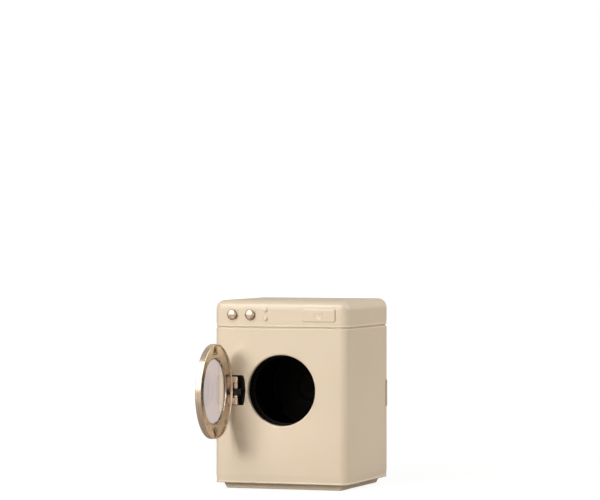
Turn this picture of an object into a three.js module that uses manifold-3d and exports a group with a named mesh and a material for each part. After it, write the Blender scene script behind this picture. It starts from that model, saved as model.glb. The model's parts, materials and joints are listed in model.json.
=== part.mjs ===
// Toy washing machine of pressed tin for a dolls' house, with an open porthole door.
// Millimetres. X points right, Y to the back and Z up; the origin is the middle of the underside.

import * as THREE from "three";
import { mergeVertices } from "three/addons/utils/BufferGeometryUtils.js";
import Module from "manifold-3d";

const wasm = await Module();
wasm.setup();

// Cabinet
const cabinetWidth = 93;
const cabinetDepth = 88;
const machineHeight = 124.5;
const cornerRadius = 5.5;
const tin = 0.8; // thickness of the pressed sheet
const capHeight = 18.15;
const capEdgeRadius = 6;
const capRimRadius = 0.4;
const seam = 0.4; // open joint between the cabinet and its cap
const neckHeight = 4; // part of the cabinet that stands up inside the cap
const shoulderRadius = 0.5;
const hemHeight = 5;
const hemInset = 0.4;
const hemStep = 0.6;
const hemTurn = 2.5; // bottom edge turned in under the floor pan

// Floor pan and plinth
const plinthHeight = 4;
const plinthInset = 5;
const plinthTaper = 1.4;
const plinthEdgeRadius = 0.6;
const trayRimHeight = 4;

// Back of the cabinet
const rearFlange = 7; // from the round corner to the opening
const rearSill = 2; // from the hem and the shoulder to the panel's rim
const rearLap = 4; // how far the panel reaches behind the flange
const rearFieldRadius = 3;
const clipHeight = 17.6;
const clipMiddle = 60.7; // above the floor
const clipThickness = 0.4;
const clipGap = 0.15;
const clipReach = 1.2; // along the cabinet's side
const clipHold = 4; // over the rear panel

// Mouth
const mouthOffset = 0.5; // right of the middle
const mouthDrop = 41.05; // below the seam under the cap
const mouthRadius = 23.3;
const rollRadius = 0.5; // inside of the rolled edge
const rollDepth = 3; // how far the rolled edge goes in

// Door ring
const doorOverlap = 7.7; // ring outside the mouth's radius
const ringBand = 9.4; // from the ring's edge to the window
const doorLift = 0.5; // ring's middle above the mouth's
const rimThickness = 4.2;
const rimRound = 0.6;
const backLip = 0.9; // raised edge round the dished back
const lipSlope = 0.3;
const dishStart = 0.9; // depth of the dish beside its edge
const dishDepth = 1.5; // at the window
const dishRound = 0.6;
const bezelWall = 1;
const frontRise = 1.1; // how far the window's edge stands before the rim
const paneDepth = 2.9; // from the ring's back to the pane
const paneThickness = 0.8;
const paneSeat = 1.2; // pane held under the ring
const doorOpening = 89.1; // degrees, as the door is stored

// Hinge
const hingeReach = 0.7; // from the ring's edge to the hinge line
const hingeSetback = 0.3; // hinge line behind the cabinet's face
const doorStandoff = 1.75; // ring's back before the hinge line
const knuckleRadius = 1.65;
const hingePinRadius = 0.55;
const hingeBelow = 9.7; // lowest end of the barrel below the mouth's middle
const hingeAbove = 8.7;
const lowerKnuckle = 4.8;
const upperKnuckle = 4.3;
const centreBelow = 3.5; // fixed knuckle, below and above the mouth's middle
const centreAbove = 0.8;
const leafReach = 1.7; // hinge leaf along the ring's back
const leafThickness = 0.9;
const centreArm = 3.5;
const hingeWindowLeft = 3.8; // hinge window, to the left and right of the hinge line
const hingeWindowRight = 5.2;
const hingeWindowBow = 1.4;
const hingeWindowBelow = 0.4; // clear of the barrel's ends
const hingeWindowAbove = 1;
const pocketDepth = 4.8;

// Clips in the ring's back
const clipLength = 6;
const clipSpread = 5.2;
const clipLeg = 1.1;
const clipTip = 1.2;
const clipBarPlace = 3.4; // from the tip to the cross bar
const clipSheet = 0.5;
const clipHookWidth = 1.6;
const clipHookReach = 1.8;
const clipRoom = 0.35; // between the clip's tip and the dish's edge

// Black frame behind the front
const frameSideRoom = 7.2; // inside the cabinet's sides
const frameEdge = 6.6; // above and below the screw posts
const framePlate = 1.6;
const frameCornerRadius = 6;
const mouldWall = 1.2;
const collarStep = 0.3; // collar wider than the mouth
const collarWall = 1.4;
const collarLength = 6.2;
const collarShoulder = 3; // ring that carries the collar
const rollClearance = 0.6;

// Tub
const tubWall = 1.4;
const tubFlange = 2;
const tubRearRoom = 21; // between the tub and the rear panel
const postCircle = 35.5; // screw posts round the mouth
const postRadius = 2.8;
const earRadius = 3.2;
const earThickness = 2;
const bossRadius = 6.5;
const bossLength = 8;

// Screws
const screwRadius = 0.8;
const screwBite = 5;
const screwHeadRadius = 1.9;
const screwHeadHeight = 1.2;

// Drum
const drumLipRadius = 22;
const drumRadius = 28.4;
const drumWall = 1.2;
const drumLipRound = 0.9;
const drumRunning = 0.6; // between the collar and the drum
const tubClearance = 1.2;
const lifterRadius = 3.2;
const lifterCount = 3;
const axleRadius = 1.5;
const axleHeadRadius = 3.4;
const axleHeadHeight = 1.4;
const axleTail = 1.6; // beyond the clip
const grooveDepth = 0.4;
const bushWall = 1.2;
const bushFlange = 1.6;
const bushFlangeThickness = 1;
const bushProud = 0.6; // beyond the boss
const axleClipThickness = 0.8;
const axleClipWidth = 1.8;
const axleClipMouth = 1.6;
const axleClipFit = 0.1;

// Control panel
const controlDrop = 9.6; // below the top
const knobFromLeft = 13;
const knobSpacing = 12.5;
const knobRadius = 3.7;
const knobHeight = 2.7;
const knobSkirt = 0.7;
const knobRingRadius = 4.7;
const knobRingWidth = 0.7;
const knobRingRise = 0.35;
const shaftRadius = 1.1;
const shaftLength = 4.2; // behind the panel's face
const washerRadius = 2.8;
const washerThickness = 0.4;
const nutRadius = 2.3;
const nutThickness = 0.9;
const nutFit = 0.15;
const lampFromLeft = 36.1;
const lampSpacing = 5.2;
const lampRadius = 1.3;
const lampRise = 0.35; // dome above its mound
const moundRadius = 2.3;
const moundRise = 0.2;
const drawerFromRight = 8.6;
const drawerWidth = 22.6;
const drawerHeight = 8.2;
const drawerCorner = 1.1;
const drawerRise = 0.7;
const pullWidth = 6.6;
const pullHeight = 4.6;
const pullDepth = 0.7;

// Shared clearances and steps
const gap = 0.3; // between pieces that touch
const overrun = 2; // how far a cutter passes the face that it opens
const join = 0.2; // how far joined forms run into each other
const sharpest = 0.5; // least corner radius of a pressed outline
const cornerSteps = 4;
const bendSteps = 3;
const capSteps = 6;
const wideSides = 40;
const smallSides = 20;
const tinySides = 12;
const bowSteps = 6;
const quarter = Math.PI / 2;

// Planes and centres that several pieces share
const front = -cabinetDepth / 2;
const rear = cabinetDepth / 2;
const side = cabinetWidth / 2;
const shellTop = machineHeight - capHeight;
const mouthMiddle = shellTop - mouthDrop;
const capBottom = shellTop + seam;
const neckInset = tin + gap;
const hemTop = plinthHeight + hemHeight;
const panelLow = hemTop + hemStep + rearSill;
const panelHigh = shellTop - tin - rearSill;
const neckTop = shellTop + neckHeight;
const mouth = { x: mouthOffset, z: mouthMiddle };
const ringRadius = mouthRadius + doorOverlap;
const windowRadius = ringRadius - ringBand;
const hinge = { x: mouthOffset - ringRadius - hingeReach, y: front + hingeSetback };
const barrelLow = mouthMiddle - hingeBelow;
const barrelHigh = mouthMiddle + hingeAbove;
const centreLow = mouthMiddle - centreBelow;
const centreHigh = mouthMiddle + centreAbove;
const controlLine = machineHeight - controlDrop;
const rollOuter = rollRadius + tin;
const plateFront = front + tin + gap;
const collarRadius = mouthRadius + collarStep;
const collarFront = front + rollDepth + gap;
const collarBack = collarFront + collarLength;
const tubFront = collarBack + gap;
const tubInner = drumRadius + tubClearance;
const tubOuter = tubInner + tubWall;
const panelInner = rear - tin - gap - tin;
const tubBack = panelInner - tubRearRoom;
const tubFloor = tubBack - tubWall;
const bossEnd = tubBack + bossLength;
const bushRadius = axleRadius + gap + bushWall;
const drumFront = collarBack + drumRunning;
const drumBack = tubFloor - gap - bushFlangeThickness - gap;
const bushEnd = bossEnd + bushProud;

// A mesh's geometry as a solid that can be joined and cut
function solid(geometry) {
  geometry.deleteAttribute("normal");
  geometry.deleteAttribute("uv");
  const merged = mergeVertices(geometry);
  return new wasm.Manifold(
    new wasm.Mesh({
      numProp: 3,
      vertProperties: merged.attributes.position.array,
      triVerts: new Uint32Array(merged.index.array),
    }),
  );
}

function joined(...solids) {
  return solids.reduce((whole, next) => whole.add(next));
}

function cut(whole, ...cutters) {
  return cutters.reduce((rest, cutter) => rest.subtract(cutter), whole);
}

function arc(centreX, centreY, radius, from, to, steps = bendSteps) {
  const points = [];
  for (let i = 0; i <= steps; i++) {
    const angle = from + ((to - from) * i) / steps;
    points.push([centreX + radius * Math.cos(angle), centreY + radius * Math.sin(angle)]);
  }
  return points;
}

function roundedOutline(width, height, radius, steps = cornerSteps) {
  const x = width / 2 - radius;
  const y = height / 2 - radius;
  return [
    ...arc(x, y, radius, 0, quarter, steps),
    ...arc(-x, y, radius, quarter, 2 * quarter, steps),
    ...arc(-x, -y, radius, 2 * quarter, 3 * quarter, steps),
    ...arc(x, -y, radius, 3 * quarter, 4 * quarter, steps),
  ];
}

function shapeOf(points) {
  return new THREE.Shape(points.map(([x, y]) => new THREE.Vector2(x, y)));
}

// An outline seen from above, drawn upwards between two heights
function upright(points, low, high) {
  const geometry = new THREE.ExtrudeGeometry(shapeOf(points), { depth: high - low, bevelEnabled: false });
  return solid(geometry.translate(0, 0, low));
}

// An outline seen from the front, between two planes across Y
function slab(points, frontY, backY) {
  const geometry = new THREE.ExtrudeGeometry(shapeOf(points), { depth: backY - frontY, bevelEnabled: false });
  return solid(geometry.rotateX(quarter).translate(0, backY, 0));
}

// A profile of radius and Y, turned about an axis along Y
function turned(profile, centre, sides = wideSides) {
  const points = profile.map(([radius, y]) => new THREE.Vector2(radius, y));
  if (points[0].x > 0) points.push(points[0].clone());
  if (THREE.ShapeUtils.area(points) < 0) points.reverse();
  return solid(new THREE.LatheGeometry(points, sides).translate(centre.x, 0, centre.z));
}

function disc(radius, frontY, backY, centre, sides) {
  return turned([[0, frontY], [radius, frontY], [radius, backY], [0, backY]], centre, sides);
}

function tube(inner, outer, frontY, backY, centre, sides) {
  return turned([[inner, frontY], [outer, frontY], [outer, backY], [inner, backY]], centre, sides);
}

// A round bar along Z
function bar(radius, low, high, x, y, sides = smallSides) {
  const geometry = new THREE.CylinderGeometry(radius, radius, high - low, sides);
  return solid(geometry.rotateX(quarter).translate(x, y, (low + high) / 2));
}

// A stack of rounded rectangles, each drawn in by its inset from the cabinet's outside
function stacked(levels) {
  const rings = levels.map(({ z, inset, tighten = inset }) =>
    roundedOutline(
      cabinetWidth - 2 * inset,
      cabinetDepth - 2 * inset,
      Math.max(cornerRadius - tighten, sharpest),
    ).map(([x, y]) => [x, y, z]),
  );
  const count = rings[0].length;
  const faces = [];
  for (let i = 1; i < count - 1; i++) {
    faces.push(0, i + 1, i);
    const top = (rings.length - 1) * count;
    faces.push(top, top + i, top + i + 1);
  }
  for (let level = 0; level < rings.length - 1; level++) {
    for (let i = 0; i < count; i++) {
      const here = level * count + i;
      const next = level * count + ((i + 1) % count);
      faces.push(here, next, next + count, here, next + count, here + count);
    }
  }
  const geometry = new THREE.BufferGeometry();
  geometry.setAttribute("position", new THREE.Float32BufferAttribute(rings.flat(2), 3));
  geometry.setIndex(faces);
  return solid(geometry);
}

// Finishes
const paint = { color: 0xe1cfb6, roughness: 0.42, metalness: 0.1 };
const plating = { color: 0xc9ae8c, roughness: 0.22, metalness: 1 };
const mould = { color: 0x141110, roughness: 0.35, metalness: 0 };
const clear = { color: 0xd9cfca, roughness: 0.05, metalness: 0, transparent: true, opacity: 0.35 };
const steel = { color: 0x9a9894, roughness: 0.4, metalness: 1 };
const bronze = { color: 0x8f6b3d, roughness: 0.5, metalness: 1 };

const machine = new THREE.Group();

function addPiece(name, made, finish, parent = machine) {
  const { vertProperties, triVerts } = made.getMesh();
  const indexed = new THREE.BufferGeometry();
  indexed.setAttribute("position", new THREE.BufferAttribute(vertProperties, 3));
  indexed.setIndex(new THREE.BufferAttribute(triVerts, 1));
  const geometry = indexed.toNonIndexed();
  geometry.computeVertexNormals();
  const mesh = new THREE.Mesh(geometry, new THREE.MeshStandardMaterial(finish));
  mesh.name = name;
  parent.add(mesh);
}

// The hinge window's outline, whose right side bows outwards
function hingeWindowOutline(grow = 0) {
  const left = hinge.x - hingeWindowLeft - grow;
  const right = hinge.x + hingeWindowRight + grow;
  const low = barrelLow - hingeWindowBelow - grow;
  const high = barrelHigh + hingeWindowAbove + grow;
  const points = [[left, low]];
  for (let i = 0; i <= bowSteps; i++) {
    const along = (2 * i) / bowSteps - 1;
    const z = low + ((high - low) * i) / bowSteps;
    points.push([right + hingeWindowBow * (1 - along * along), z]);
  }
  points.push([left, high]);
  return points;
}

// Cabinet wrap: front, sides and rear corners in one sheet
function cabinetShell() {
  const outside = stacked([
    { z: plinthHeight, inset: hemInset },
    { z: hemTop, inset: hemInset },
    { z: hemTop + hemStep, inset: 0 },
    { z: shellTop - shoulderRadius, inset: 0 },
    { z: shellTop, inset: shoulderRadius },
    { z: shellTop, inset: neckInset },
    { z: neckTop, inset: neckInset },
  ]);
  const inside = stacked([
    { z: plinthHeight + tin, inset: hemInset + tin },
    { z: hemTop, inset: hemInset + tin },
    { z: hemTop + hemStep, inset: tin },
    { z: shellTop - tin, inset: tin },
    { z: shellTop - tin, inset: neckInset + tin },
    { z: neckTop + overrun, inset: neckInset + tin },
  ]);
  const under = stacked([
    { z: plinthHeight - overrun, inset: hemInset + hemTurn },
    { z: plinthHeight + 2 * tin, inset: hemInset + hemTurn },
  ]);
  const roll = turned(
    [
      ...arc(mouthRadius + rollOuter, front + rollOuter, rollOuter, -quarter, -2 * quarter),
      [mouthRadius, front + rollDepth],
      [mouthRadius + tin, front + rollDepth],
      ...arc(mouthRadius + rollOuter, front + rollOuter, rollRadius, -2 * quarter, -quarter),
      [mouthRadius + rollOuter + join, front + tin],
      [mouthRadius + rollOuter + join, front],
    ],
    mouth,
  );
  const mouthHole = disc(mouthRadius + rollOuter, front - overrun, front + tin + overrun, mouth);
  const hingeHole = slab(hingeWindowOutline(), front - overrun, front + tin + overrun);
  const sheetBody = cut(outside, inside, under, mouthHole, rearOpening(0));
  return cut(joined(sheetBody, roll), hingeHole);
}

function rearOpening(shrink) {
  const low = panelLow + rearLap;
  const high = panelHigh - rearLap;
  const openingWidth = cabinetWidth - 2 * (cornerRadius + rearFlange);
  const outline = roundedOutline(
    openingWidth - 2 * shrink,
    high - low - 2 * shrink,
    rearFieldRadius,
  ).map(([x, z]) => [x, z + (low + high) / 2]);
  return slab(outline, rear - tin - overrun, shrink ? rear : rear + overrun);
}

// Back cover: a flat rim inside the cabinet and a raised field that fills the opening
function rearPanel() {
  const middle = (panelLow + panelHigh) / 2;
  const rimWidth = cabinetWidth - 2 * (cornerRadius + rearFlange - rearLap);
  const rim = slab(
    roundedOutline(rimWidth, panelHigh - panelLow, rearFieldRadius).map(([x, z]) => [x, z + middle]),
    panelInner,
    panelInner + tin,
  );
  const field = rearOpening(gap);
  const hollow = rearOpening(gap + tin).translate([0, -tin, 0]);
  return cut(joined(rim, field), hollow);
}

// Strap that wraps a rear corner of the cabinet and holds the rear panel
function rearClip(hand) {
  const x = side - cornerRadius;
  const y = rear - cornerRadius;
  const near = cornerRadius + clipGap;
  const far = near + clipThickness;
  const end = x - rearFlange - clipHold;
  const points = [
    [x + near, y - clipReach],
    ...arc(x, y, near, 0, quarter, cornerSteps),
    [end, y + near],
    [end, y + far],
    ...arc(x, y, far, quarter, 0, cornerSteps),
    [x + far, y - clipReach],
  ];
  const outline = points.map(([px, py]) => [hand * px, py]);
  return upright(outline, clipMiddle - clipHeight / 2, clipMiddle + clipHeight / 2);
}

// Floor pan: the plinth below, a flange over the cabinet's hem and an upturned rim
function plinthTray() {
  const foot = plinthInset + plinthTaper;
  const flangeLow = plinthHeight + tin + gap;
  const rimInset = hemInset + tin + gap;
  const outside = stacked([
    { z: 0, inset: foot + plinthEdgeRadius },
    { z: plinthEdgeRadius, inset: foot },
    { z: plinthHeight, inset: plinthInset },
    { z: flangeLow, inset: plinthInset },
    { z: flangeLow, inset: rimInset },
    { z: flangeLow + trayRimHeight, inset: rimInset },
  ]);
  const inside = stacked([
    { z: tin, inset: foot + tin + plinthEdgeRadius },
    { z: tin + plinthEdgeRadius, inset: foot + tin },
    { z: plinthHeight, inset: plinthInset + tin },
    { z: flangeLow + tin, inset: plinthInset + tin },
    { z: flangeLow + tin, inset: rimInset + tin },
    { z: flangeLow + trayRimHeight + overrun, inset: rimInset + tin },
  ]);
  return cut(outside, inside);
}

// Lid with round top edges and the control panel pressed into its front
function topCap() {
  const fillet = (inset, top) => {
    const levels = [];
    const radius = capEdgeRadius - inset;
    for (let i = 0; i <= capSteps; i++) {
      const angle = (quarter * i) / capSteps;
      const drawn = radius * (1 - Math.cos(angle));
      levels.push({
        z: top - radius + radius * Math.sin(angle),
        inset: inset + drawn,
        tighten: inset + (drawn * (cornerRadius - inset)) / capEdgeRadius,
      });
    }
    return levels;
  };
  const outside = stacked([
    { z: capBottom, inset: capRimRadius },
    { z: capBottom + capRimRadius, inset: 0 },
    ...fillet(0, machineHeight),
  ]);
  const inside = stacked([{ z: capBottom - overrun, inset: tin }, ...fillet(tin, machineHeight - tin)]);
  const details = [
    ...knobPlaces().map((place) => knobRing(place)),
    ...lampPlaces().map((place) => lamp(place)),
    drawerFront(),
  ];
  const holes = knobPlaces().map((place) =>
    disc(shaftRadius + gap, front - overrun, front + tin + overrun, place, smallSides),
  );
  return cut(joined(cut(outside, inside), ...details), drawerPull(), ...holes);
}

function knobPlaces() {
  const x = -side + knobFromLeft;
  return [
    { x, z: controlLine },
    { x: x + knobSpacing, z: controlLine },
  ];
}

function lampPlaces() {
  const x = -side + lampFromLeft;
  return [
    { x, z: controlLine + lampSpacing / 2 },
    { x, z: controlLine - lampSpacing / 2 },
  ];
}

function knobRing(place) {
  const half = knobRingWidth / 2;
  const crown = arc(0, 0, 1, 2 * quarter, 0, bendSteps).map(([across, up]) => [
    knobRingRadius + across * half,
    front - up * knobRingRise,
  ]);
  return turned(
    [...crown, [knobRingRadius + half, front + join], [knobRingRadius - half, front + join]],
    place,
    smallSides,
  );
}

// Small dome on a low round mound
function lamp(place) {
  const crown = arc(0, 0, 1, 0, quarter, bendSteps).map(([across, up]) => [
    across * lampRadius,
    front - moundRise - up * lampRise,
  ]);
  crown[bendSteps][0] = 0;
  return turned(
    [
      [0, front + join],
      [moundRadius, front + join],
      [moundRadius, front],
      [moundRadius - moundRise, front - moundRise],
      ...crown,
    ],
    place,
    smallSides,
  );
}

function drawerMiddle() {
  return side - drawerFromRight - drawerWidth / 2;
}

function drawerFront() {
  const outline = roundedOutline(drawerWidth, drawerHeight, drawerCorner, bendSteps);
  return slab(
    outline.map(([x, z]) => [x + drawerMiddle(), z + controlLine]),
    front - drawerRise,
    front + join,
  );
}

// Half-moon recess in the drawer's front, flat above and round below
function drawerPull() {
  const top = controlLine + pullHeight / 2;
  const moon = arc(0, 0, 1, -2 * quarter, 0, smallSides / 2).map(([across, down]) => [
    drawerMiddle() + (across * pullWidth) / 2,
    top + down * pullHeight,
  ]);
  return slab(moon, front - drawerRise - overrun, front - drawerRise + pullDepth);
}

function knob(place) {
  const base = front - gap;
  const dome = arc(0, 0, 1, 0, quarter, 2 * bendSteps).map(([across, up]) => [
    across * knobRadius,
    base - knobSkirt - up * (knobHeight - knobSkirt),
  ]);
  dome[2 * bendSteps][0] = 0;
  return turned(
    [
      [0, front + shaftLength],
      [shaftRadius, front + shaftLength],
      [shaftRadius, base],
      [knobRadius, base],
      ...dome,
    ],
    place,
    smallSides,
  );
}

function knobWasher(place) {
  const start = front + tin + gap;
  return tube(shaftRadius + gap, washerRadius, start, start + washerThickness, place, smallSides);
}

function knobNut(place) {
  const start = front + tin + gap + washerThickness + gap;
  return tube(shaftRadius + nutFit, nutRadius, start, start + nutThickness, place, tinySides);
}

// Black moulding behind the front: plate, mouth collar, hinge pocket, fixed knuckle and screw posts
function frontFrame() {
  const frameWidth = cabinetWidth - 2 * (tin + frameSideRoom);
  const frameHeight = 2 * (postCircle * Math.sin(quarter / 2) + frameEdge);
  const plate = slab(
    roundedOutline(frameWidth, frameHeight, frameCornerRadius).map(([x, z]) => [x, z + mouth.z]),
    plateFront,
    plateFront + framePlate,
  );
  const shoulderBack = collarFront + collarWall;
  const rollRoom = mouthRadius + rollOuter + rollClearance;
  const shoulder = disc(rollRoom + collarShoulder, plateFront, shoulderBack, mouth);
  const collar = disc(collarRadius + collarWall, plateFront, collarBack, mouth);
  const pocketBack = front + tin + pocketDepth;
  const pocket = slab(hingeWindowOutline(mouldWall), plateFront, pocketBack + mouldWall);
  const posts = postPlaces().map((place) => disc(postRadius, plateFront, collarBack, place, smallSides));
  const pilots = postPlaces().map((place) =>
    disc(screwRadius + gap, collarBack - screwBite - gap, collarBack + overrun, place, tinySides),
  );
  const arm = slab(
    [
      [hinge.x, centreLow],
      [hinge.x + centreArm, centreLow],
      [hinge.x + centreArm, centreHigh],
      [hinge.x, centreHigh],
    ],
    front,
    pocketBack + join,
  );
  const knuckle = bar(knuckleRadius, centreLow, centreHigh, hinge.x, hinge.y);
  const pinHole = bar(hingePinRadius + gap, centreLow - overrun, centreHigh + overrun, hinge.x, hinge.y);
  const moulding = cut(
    joined(plate, shoulder, collar, pocket, ...posts),
    disc(collarRadius, front - overrun, collarBack + overrun, mouth),
    disc(rollRoom, front - overrun, collarFront, mouth),
    slab(hingeWindowOutline(), front - overrun, pocketBack),
    ...pilots,
  );
  return cut(joined(moulding, arm, knuckle), pinHole);
}

// Screw posts on the diagonals of the mouth
function postPlaces() {
  return [1, 3, 5, 7].map((eighth) => ({
    x: mouth.x + postCircle * Math.cos((eighth * quarter) / 2),
    z: mouth.z + postCircle * Math.sin((eighth * quarter) / 2),
  }));
}

function drumTub() {
  const boreRadius = bushRadius + gap;
  const shell = turned(
    [
      [tubInner, tubFront],
      [tubInner, tubFloor],
      [boreRadius, tubFloor],
      [boreRadius, bossEnd],
      [bossRadius, bossEnd],
      [bossRadius, tubBack],
      [tubOuter, tubBack],
      [tubOuter, tubFront + tubFlange],
      [tubOuter + tubFlange, tubFront + tubFlange],
      [tubOuter + tubFlange, tubFront],
    ],
    mouth,
  );
  const ears = postPlaces().map((place) =>
    disc(earRadius, tubFront, tubFront + earThickness, place, smallSides),
  );
  const holes = postPlaces().map((place) =>
    disc(screwRadius + gap, tubFront - overrun, tubFront + earThickness + overrun, place, tinySides),
  );
  const room = disc(tubInner, tubFront - overrun, tubFloor, mouth);
  return cut(joined(shell, ...ears), room, ...holes);
}

function tubScrew(place) {
  const seat = tubFront + earThickness + gap;
  return turned(
    [
      [0, collarBack - screwBite],
      [screwRadius, collarBack - screwBite],
      [screwRadius, seat],
      [screwHeadRadius, seat],
      [screwHeadRadius, seat + screwHeadHeight],
      [0, seat + screwHeadHeight],
    ],
    place,
    tinySides,
  );
}

// Drum: a cup with an inward lip, a hub hole and ridges that lift the washing
function drum() {
  const inner = drumRadius - drumWall;
  const holeRadius = axleRadius + gap;
  const cup = turned(
    [
      [inner, drumFront + drumWall],
      [inner, drumBack - drumWall],
      [holeRadius, drumBack - drumWall],
      [holeRadius, drumBack],
      [drumRadius, drumBack],
      [drumRadius, drumFront],
      [drumLipRadius + drumLipRound, drumFront],
      [drumLipRadius, drumFront + drumWall / 2],
      [drumLipRadius + drumLipRound, drumFront + drumWall],
    ],
    mouth,
  );
  const lifterFront = drumFront + drumWall - join;
  const lifterBack = drumBack - drumWall + join;
  const lifters = [];
  for (let i = 0; i < lifterCount; i++) {
    const angle = quarter + (i * 4 * quarter) / lifterCount;
    const place = { x: mouth.x + inner * Math.cos(angle), z: mouth.z + inner * Math.sin(angle) };
    lifters.push(disc(lifterRadius, lifterFront, lifterBack, place, tinySides));
  }
  const limit = disc(drumRadius - drumWall / 2, drumFront, drumBack, mouth);
  return joined(cup, joined(...lifters).intersect(limit));
}

function drumAxle() {
  const headBack = drumBack - drumWall - gap;
  const clipFront = bushEnd + gap;
  const grooveRadius = axleRadius - grooveDepth;
  const grooveEnd = clipFront + axleClipThickness;
  return turned(
    [
      [0, headBack - axleHeadHeight],
      [axleHeadRadius, headBack - axleHeadHeight],
      [axleHeadRadius, headBack],
      [axleRadius, headBack],
      [axleRadius, clipFront - axleClipFit],
      [grooveRadius, clipFront - axleClipFit],
      [grooveRadius, grooveEnd + axleClipFit],
      [axleRadius, grooveEnd + axleClipFit],
      [axleRadius, grooveEnd + axleTail],
      [0, grooveEnd + axleTail],
    ],
    mouth,
    smallSides,
  );
}

function drumBearing() {
  const bore = axleRadius + gap;
  return turned(
    [
      [bore, drumBack + gap],
      [bushRadius + bushFlange, drumBack + gap],
      [bushRadius + bushFlange, tubFloor - gap],
      [bushRadius, tubFloor - gap],
      [bushRadius, bushEnd],
      [bore, bushEnd],
    ],
    mouth,
    smallSides,
  );
}

// Open ring that sits in the axle's groove behind the bush
function drumAxleClip() {
  const inner = axleRadius - grooveDepth + axleClipFit;
  const start = bushEnd + gap;
  const ring = tube(inner, inner + axleClipWidth, start, start + axleClipThickness, mouth, smallSides);
  const low = mouth.z - inner - axleClipWidth - overrun;
  const half = axleClipMouth / 2;
  const slot = slab(
    [
      [mouth.x - half, low],
      [mouth.x + half, low],
      [mouth.x + half, mouth.z],
      [mouth.x - half, mouth.z],
    ],
    start - overrun,
    start + axleClipThickness + overrun,
  );
  return cut(ring, slot);
}

// Door, drawn closed about its hinge line: X runs along the ring and -Y out of the machine
const door = new THREE.Group();
door.position.set(hinge.x, hinge.y, 0);
door.rotation.z = -THREE.MathUtils.degToRad(doorOpening);
machine.add(door);

const ring = { x: ringRadius + hingeReach, z: mouthMiddle + doorLift };
const ringBack = -doorStandoff;
const ringFront = ringBack - rimThickness;
const parting = (ringBack + ringFront) / 2;
const paneBack = ringBack - paneDepth;
const paneFront = paneBack - paneThickness;
const paneRadius = windowRadius + paneSeat;
const dishEdge = ringRadius - backLip;
const dishFoot = dishEdge - lipSlope;

function doorBackBezel() {
  const collarEnd = paneBack + gap;
  const dishLow = ringBack - dishDepth;
  const joint = parting + gap / 2;
  const body = turned(
    [
      [ringRadius, joint],
      ...arc(ringRadius - rimRound, ringBack - rimRound, rimRound, 0, quarter),
      [dishEdge, ringBack],
      [dishFoot, ringBack - dishStart],
      ...arc(windowRadius + dishRound, dishLow - dishRound, dishRound, quarter, 2 * quarter),
      [windowRadius, collarEnd],
      [windowRadius + bezelWall, collarEnd],
      [ringRadius - bezelWall, joint],
    ],
    ring,
  );
  const knuckles = [
    [barrelLow, barrelLow + lowerKnuckle - gap],
    [barrelHigh - upperKnuckle + gap, barrelHigh],
  ].map(([low, high]) => {
    const leafBack = ringBack + leafThickness / 2;
    const leaf = upright(
      [
        [-knuckleRadius, 0],
        [-knuckleRadius, ringBack - leafThickness / 2],
        [leafReach, ringBack - leafThickness / 2],
        [leafReach, leafBack],
        [knuckleRadius, leafBack],
        [knuckleRadius, 0],
      ],
      low,
      high,
    );
    return joined(leaf, bar(knuckleRadius, low, high, 0, 0));
  });
  const pinHole = bar(hingePinRadius + gap, barrelLow - overrun, barrelHigh + overrun, 0, 0);
  const slots = [1, -1].map((up) => hookSlot(up));
  return cut(joined(body, ...knuckles), pinHole, ...slots);
}

function doorFrontBezel() {
  const joint = parting - gap / 2;
  const windowFront = ringFront - frontRise;
  const pocketRadius = paneRadius + gap;
  const lipBack = paneFront - gap;
  return turned(
    [
      [ringRadius - bezelWall, joint],
      [ringRadius - bezelWall, ringFront + bezelWall],
      [pocketRadius + bezelWall, lipBack],
      [pocketRadius + bezelWall, paneBack],
      [pocketRadius, paneBack],
      [pocketRadius, lipBack],
      [windowRadius, lipBack],
      [windowRadius, windowFront + dishRound / 2],
      [windowRadius + dishRound / 2, windowFront],
      [windowRadius + paneSeat, windowFront],
      ...arc(ringRadius - rimRound, ringFront + rimRound, rimRound, -quarter, 0),
      [ringRadius, joint],
    ],
    ring,
  );
}

function doorWindow() {
  return disc(paneRadius, paneFront, paneBack, ring);
}

// The clips lie on the dished back, so they lean with it
const dishLean = Math.atan2(dishDepth - dishStart, dishFoot - windowRadius);
const clipMiddleRadius = dishFoot - clipRoom - clipLength / 2;
const clipSurface = ringBack - dishStart - (dishFoot - clipMiddleRadius) * Math.tan(dishLean);

function hookOutline(extra) {
  const half = clipHookWidth / 2 + extra;
  const near = -clipLeg / 2 - extra;
  const far = clipLeg / 2 + extra;
  const barZ = clipLength / 2 - clipBarPlace;
  return [
    [-half, barZ + near],
    [half, barZ + near],
    [half, barZ + far],
    [-half, barZ + far],
  ];
}

function leaned(flat, up) {
  const lean = THREE.MathUtils.radToDeg(dishLean);
  const placed = flat.rotate([-lean, 0, 0]).translate([0, clipSurface, clipMiddleRadius]);
  const turnedRound = up > 0 ? placed : placed.rotate([0, 180, 0]);
  return turnedRound.translate([ring.x, 0, ring.z]);
}

function hookSlot(up) {
  return leaned(slab(hookOutline(gap), -clipHookReach - overrun, clipSheet + overrun), up);
}

// A-shaped clip: two legs from a tip at the rim, a cross bar and a hook through the ring
function doorClip(up) {
  const top = clipLength / 2;
  const foot = -clipLength / 2;
  const outer = [
    [-clipTip / 2, top],
    [-clipSpread / 2, foot],
    [-clipSpread / 2 + clipLeg, foot],
    [0, top - clipTip - clipLeg],
    [clipSpread / 2 - clipLeg, foot],
    [clipSpread / 2, foot],
    [clipTip / 2, top],
  ];
  const barZ = top - clipBarPlace;
  const reach = (clipSpread / 2) * (clipBarPlace / clipLength);
  const crossBar = [
    [-reach, barZ - clipLeg / 2],
    [reach, barZ - clipLeg / 2],
    [reach, barZ + clipLeg / 2],
    [-reach, barZ + clipLeg / 2],
  ];
  const flat = joined(
    slab(outer, gap, gap + clipSheet),
    slab(crossBar, gap, gap + clipSheet),
    slab(hookOutline(0), -clipHookReach, gap + join),
  );
  return leaned(flat, up);
}

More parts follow.
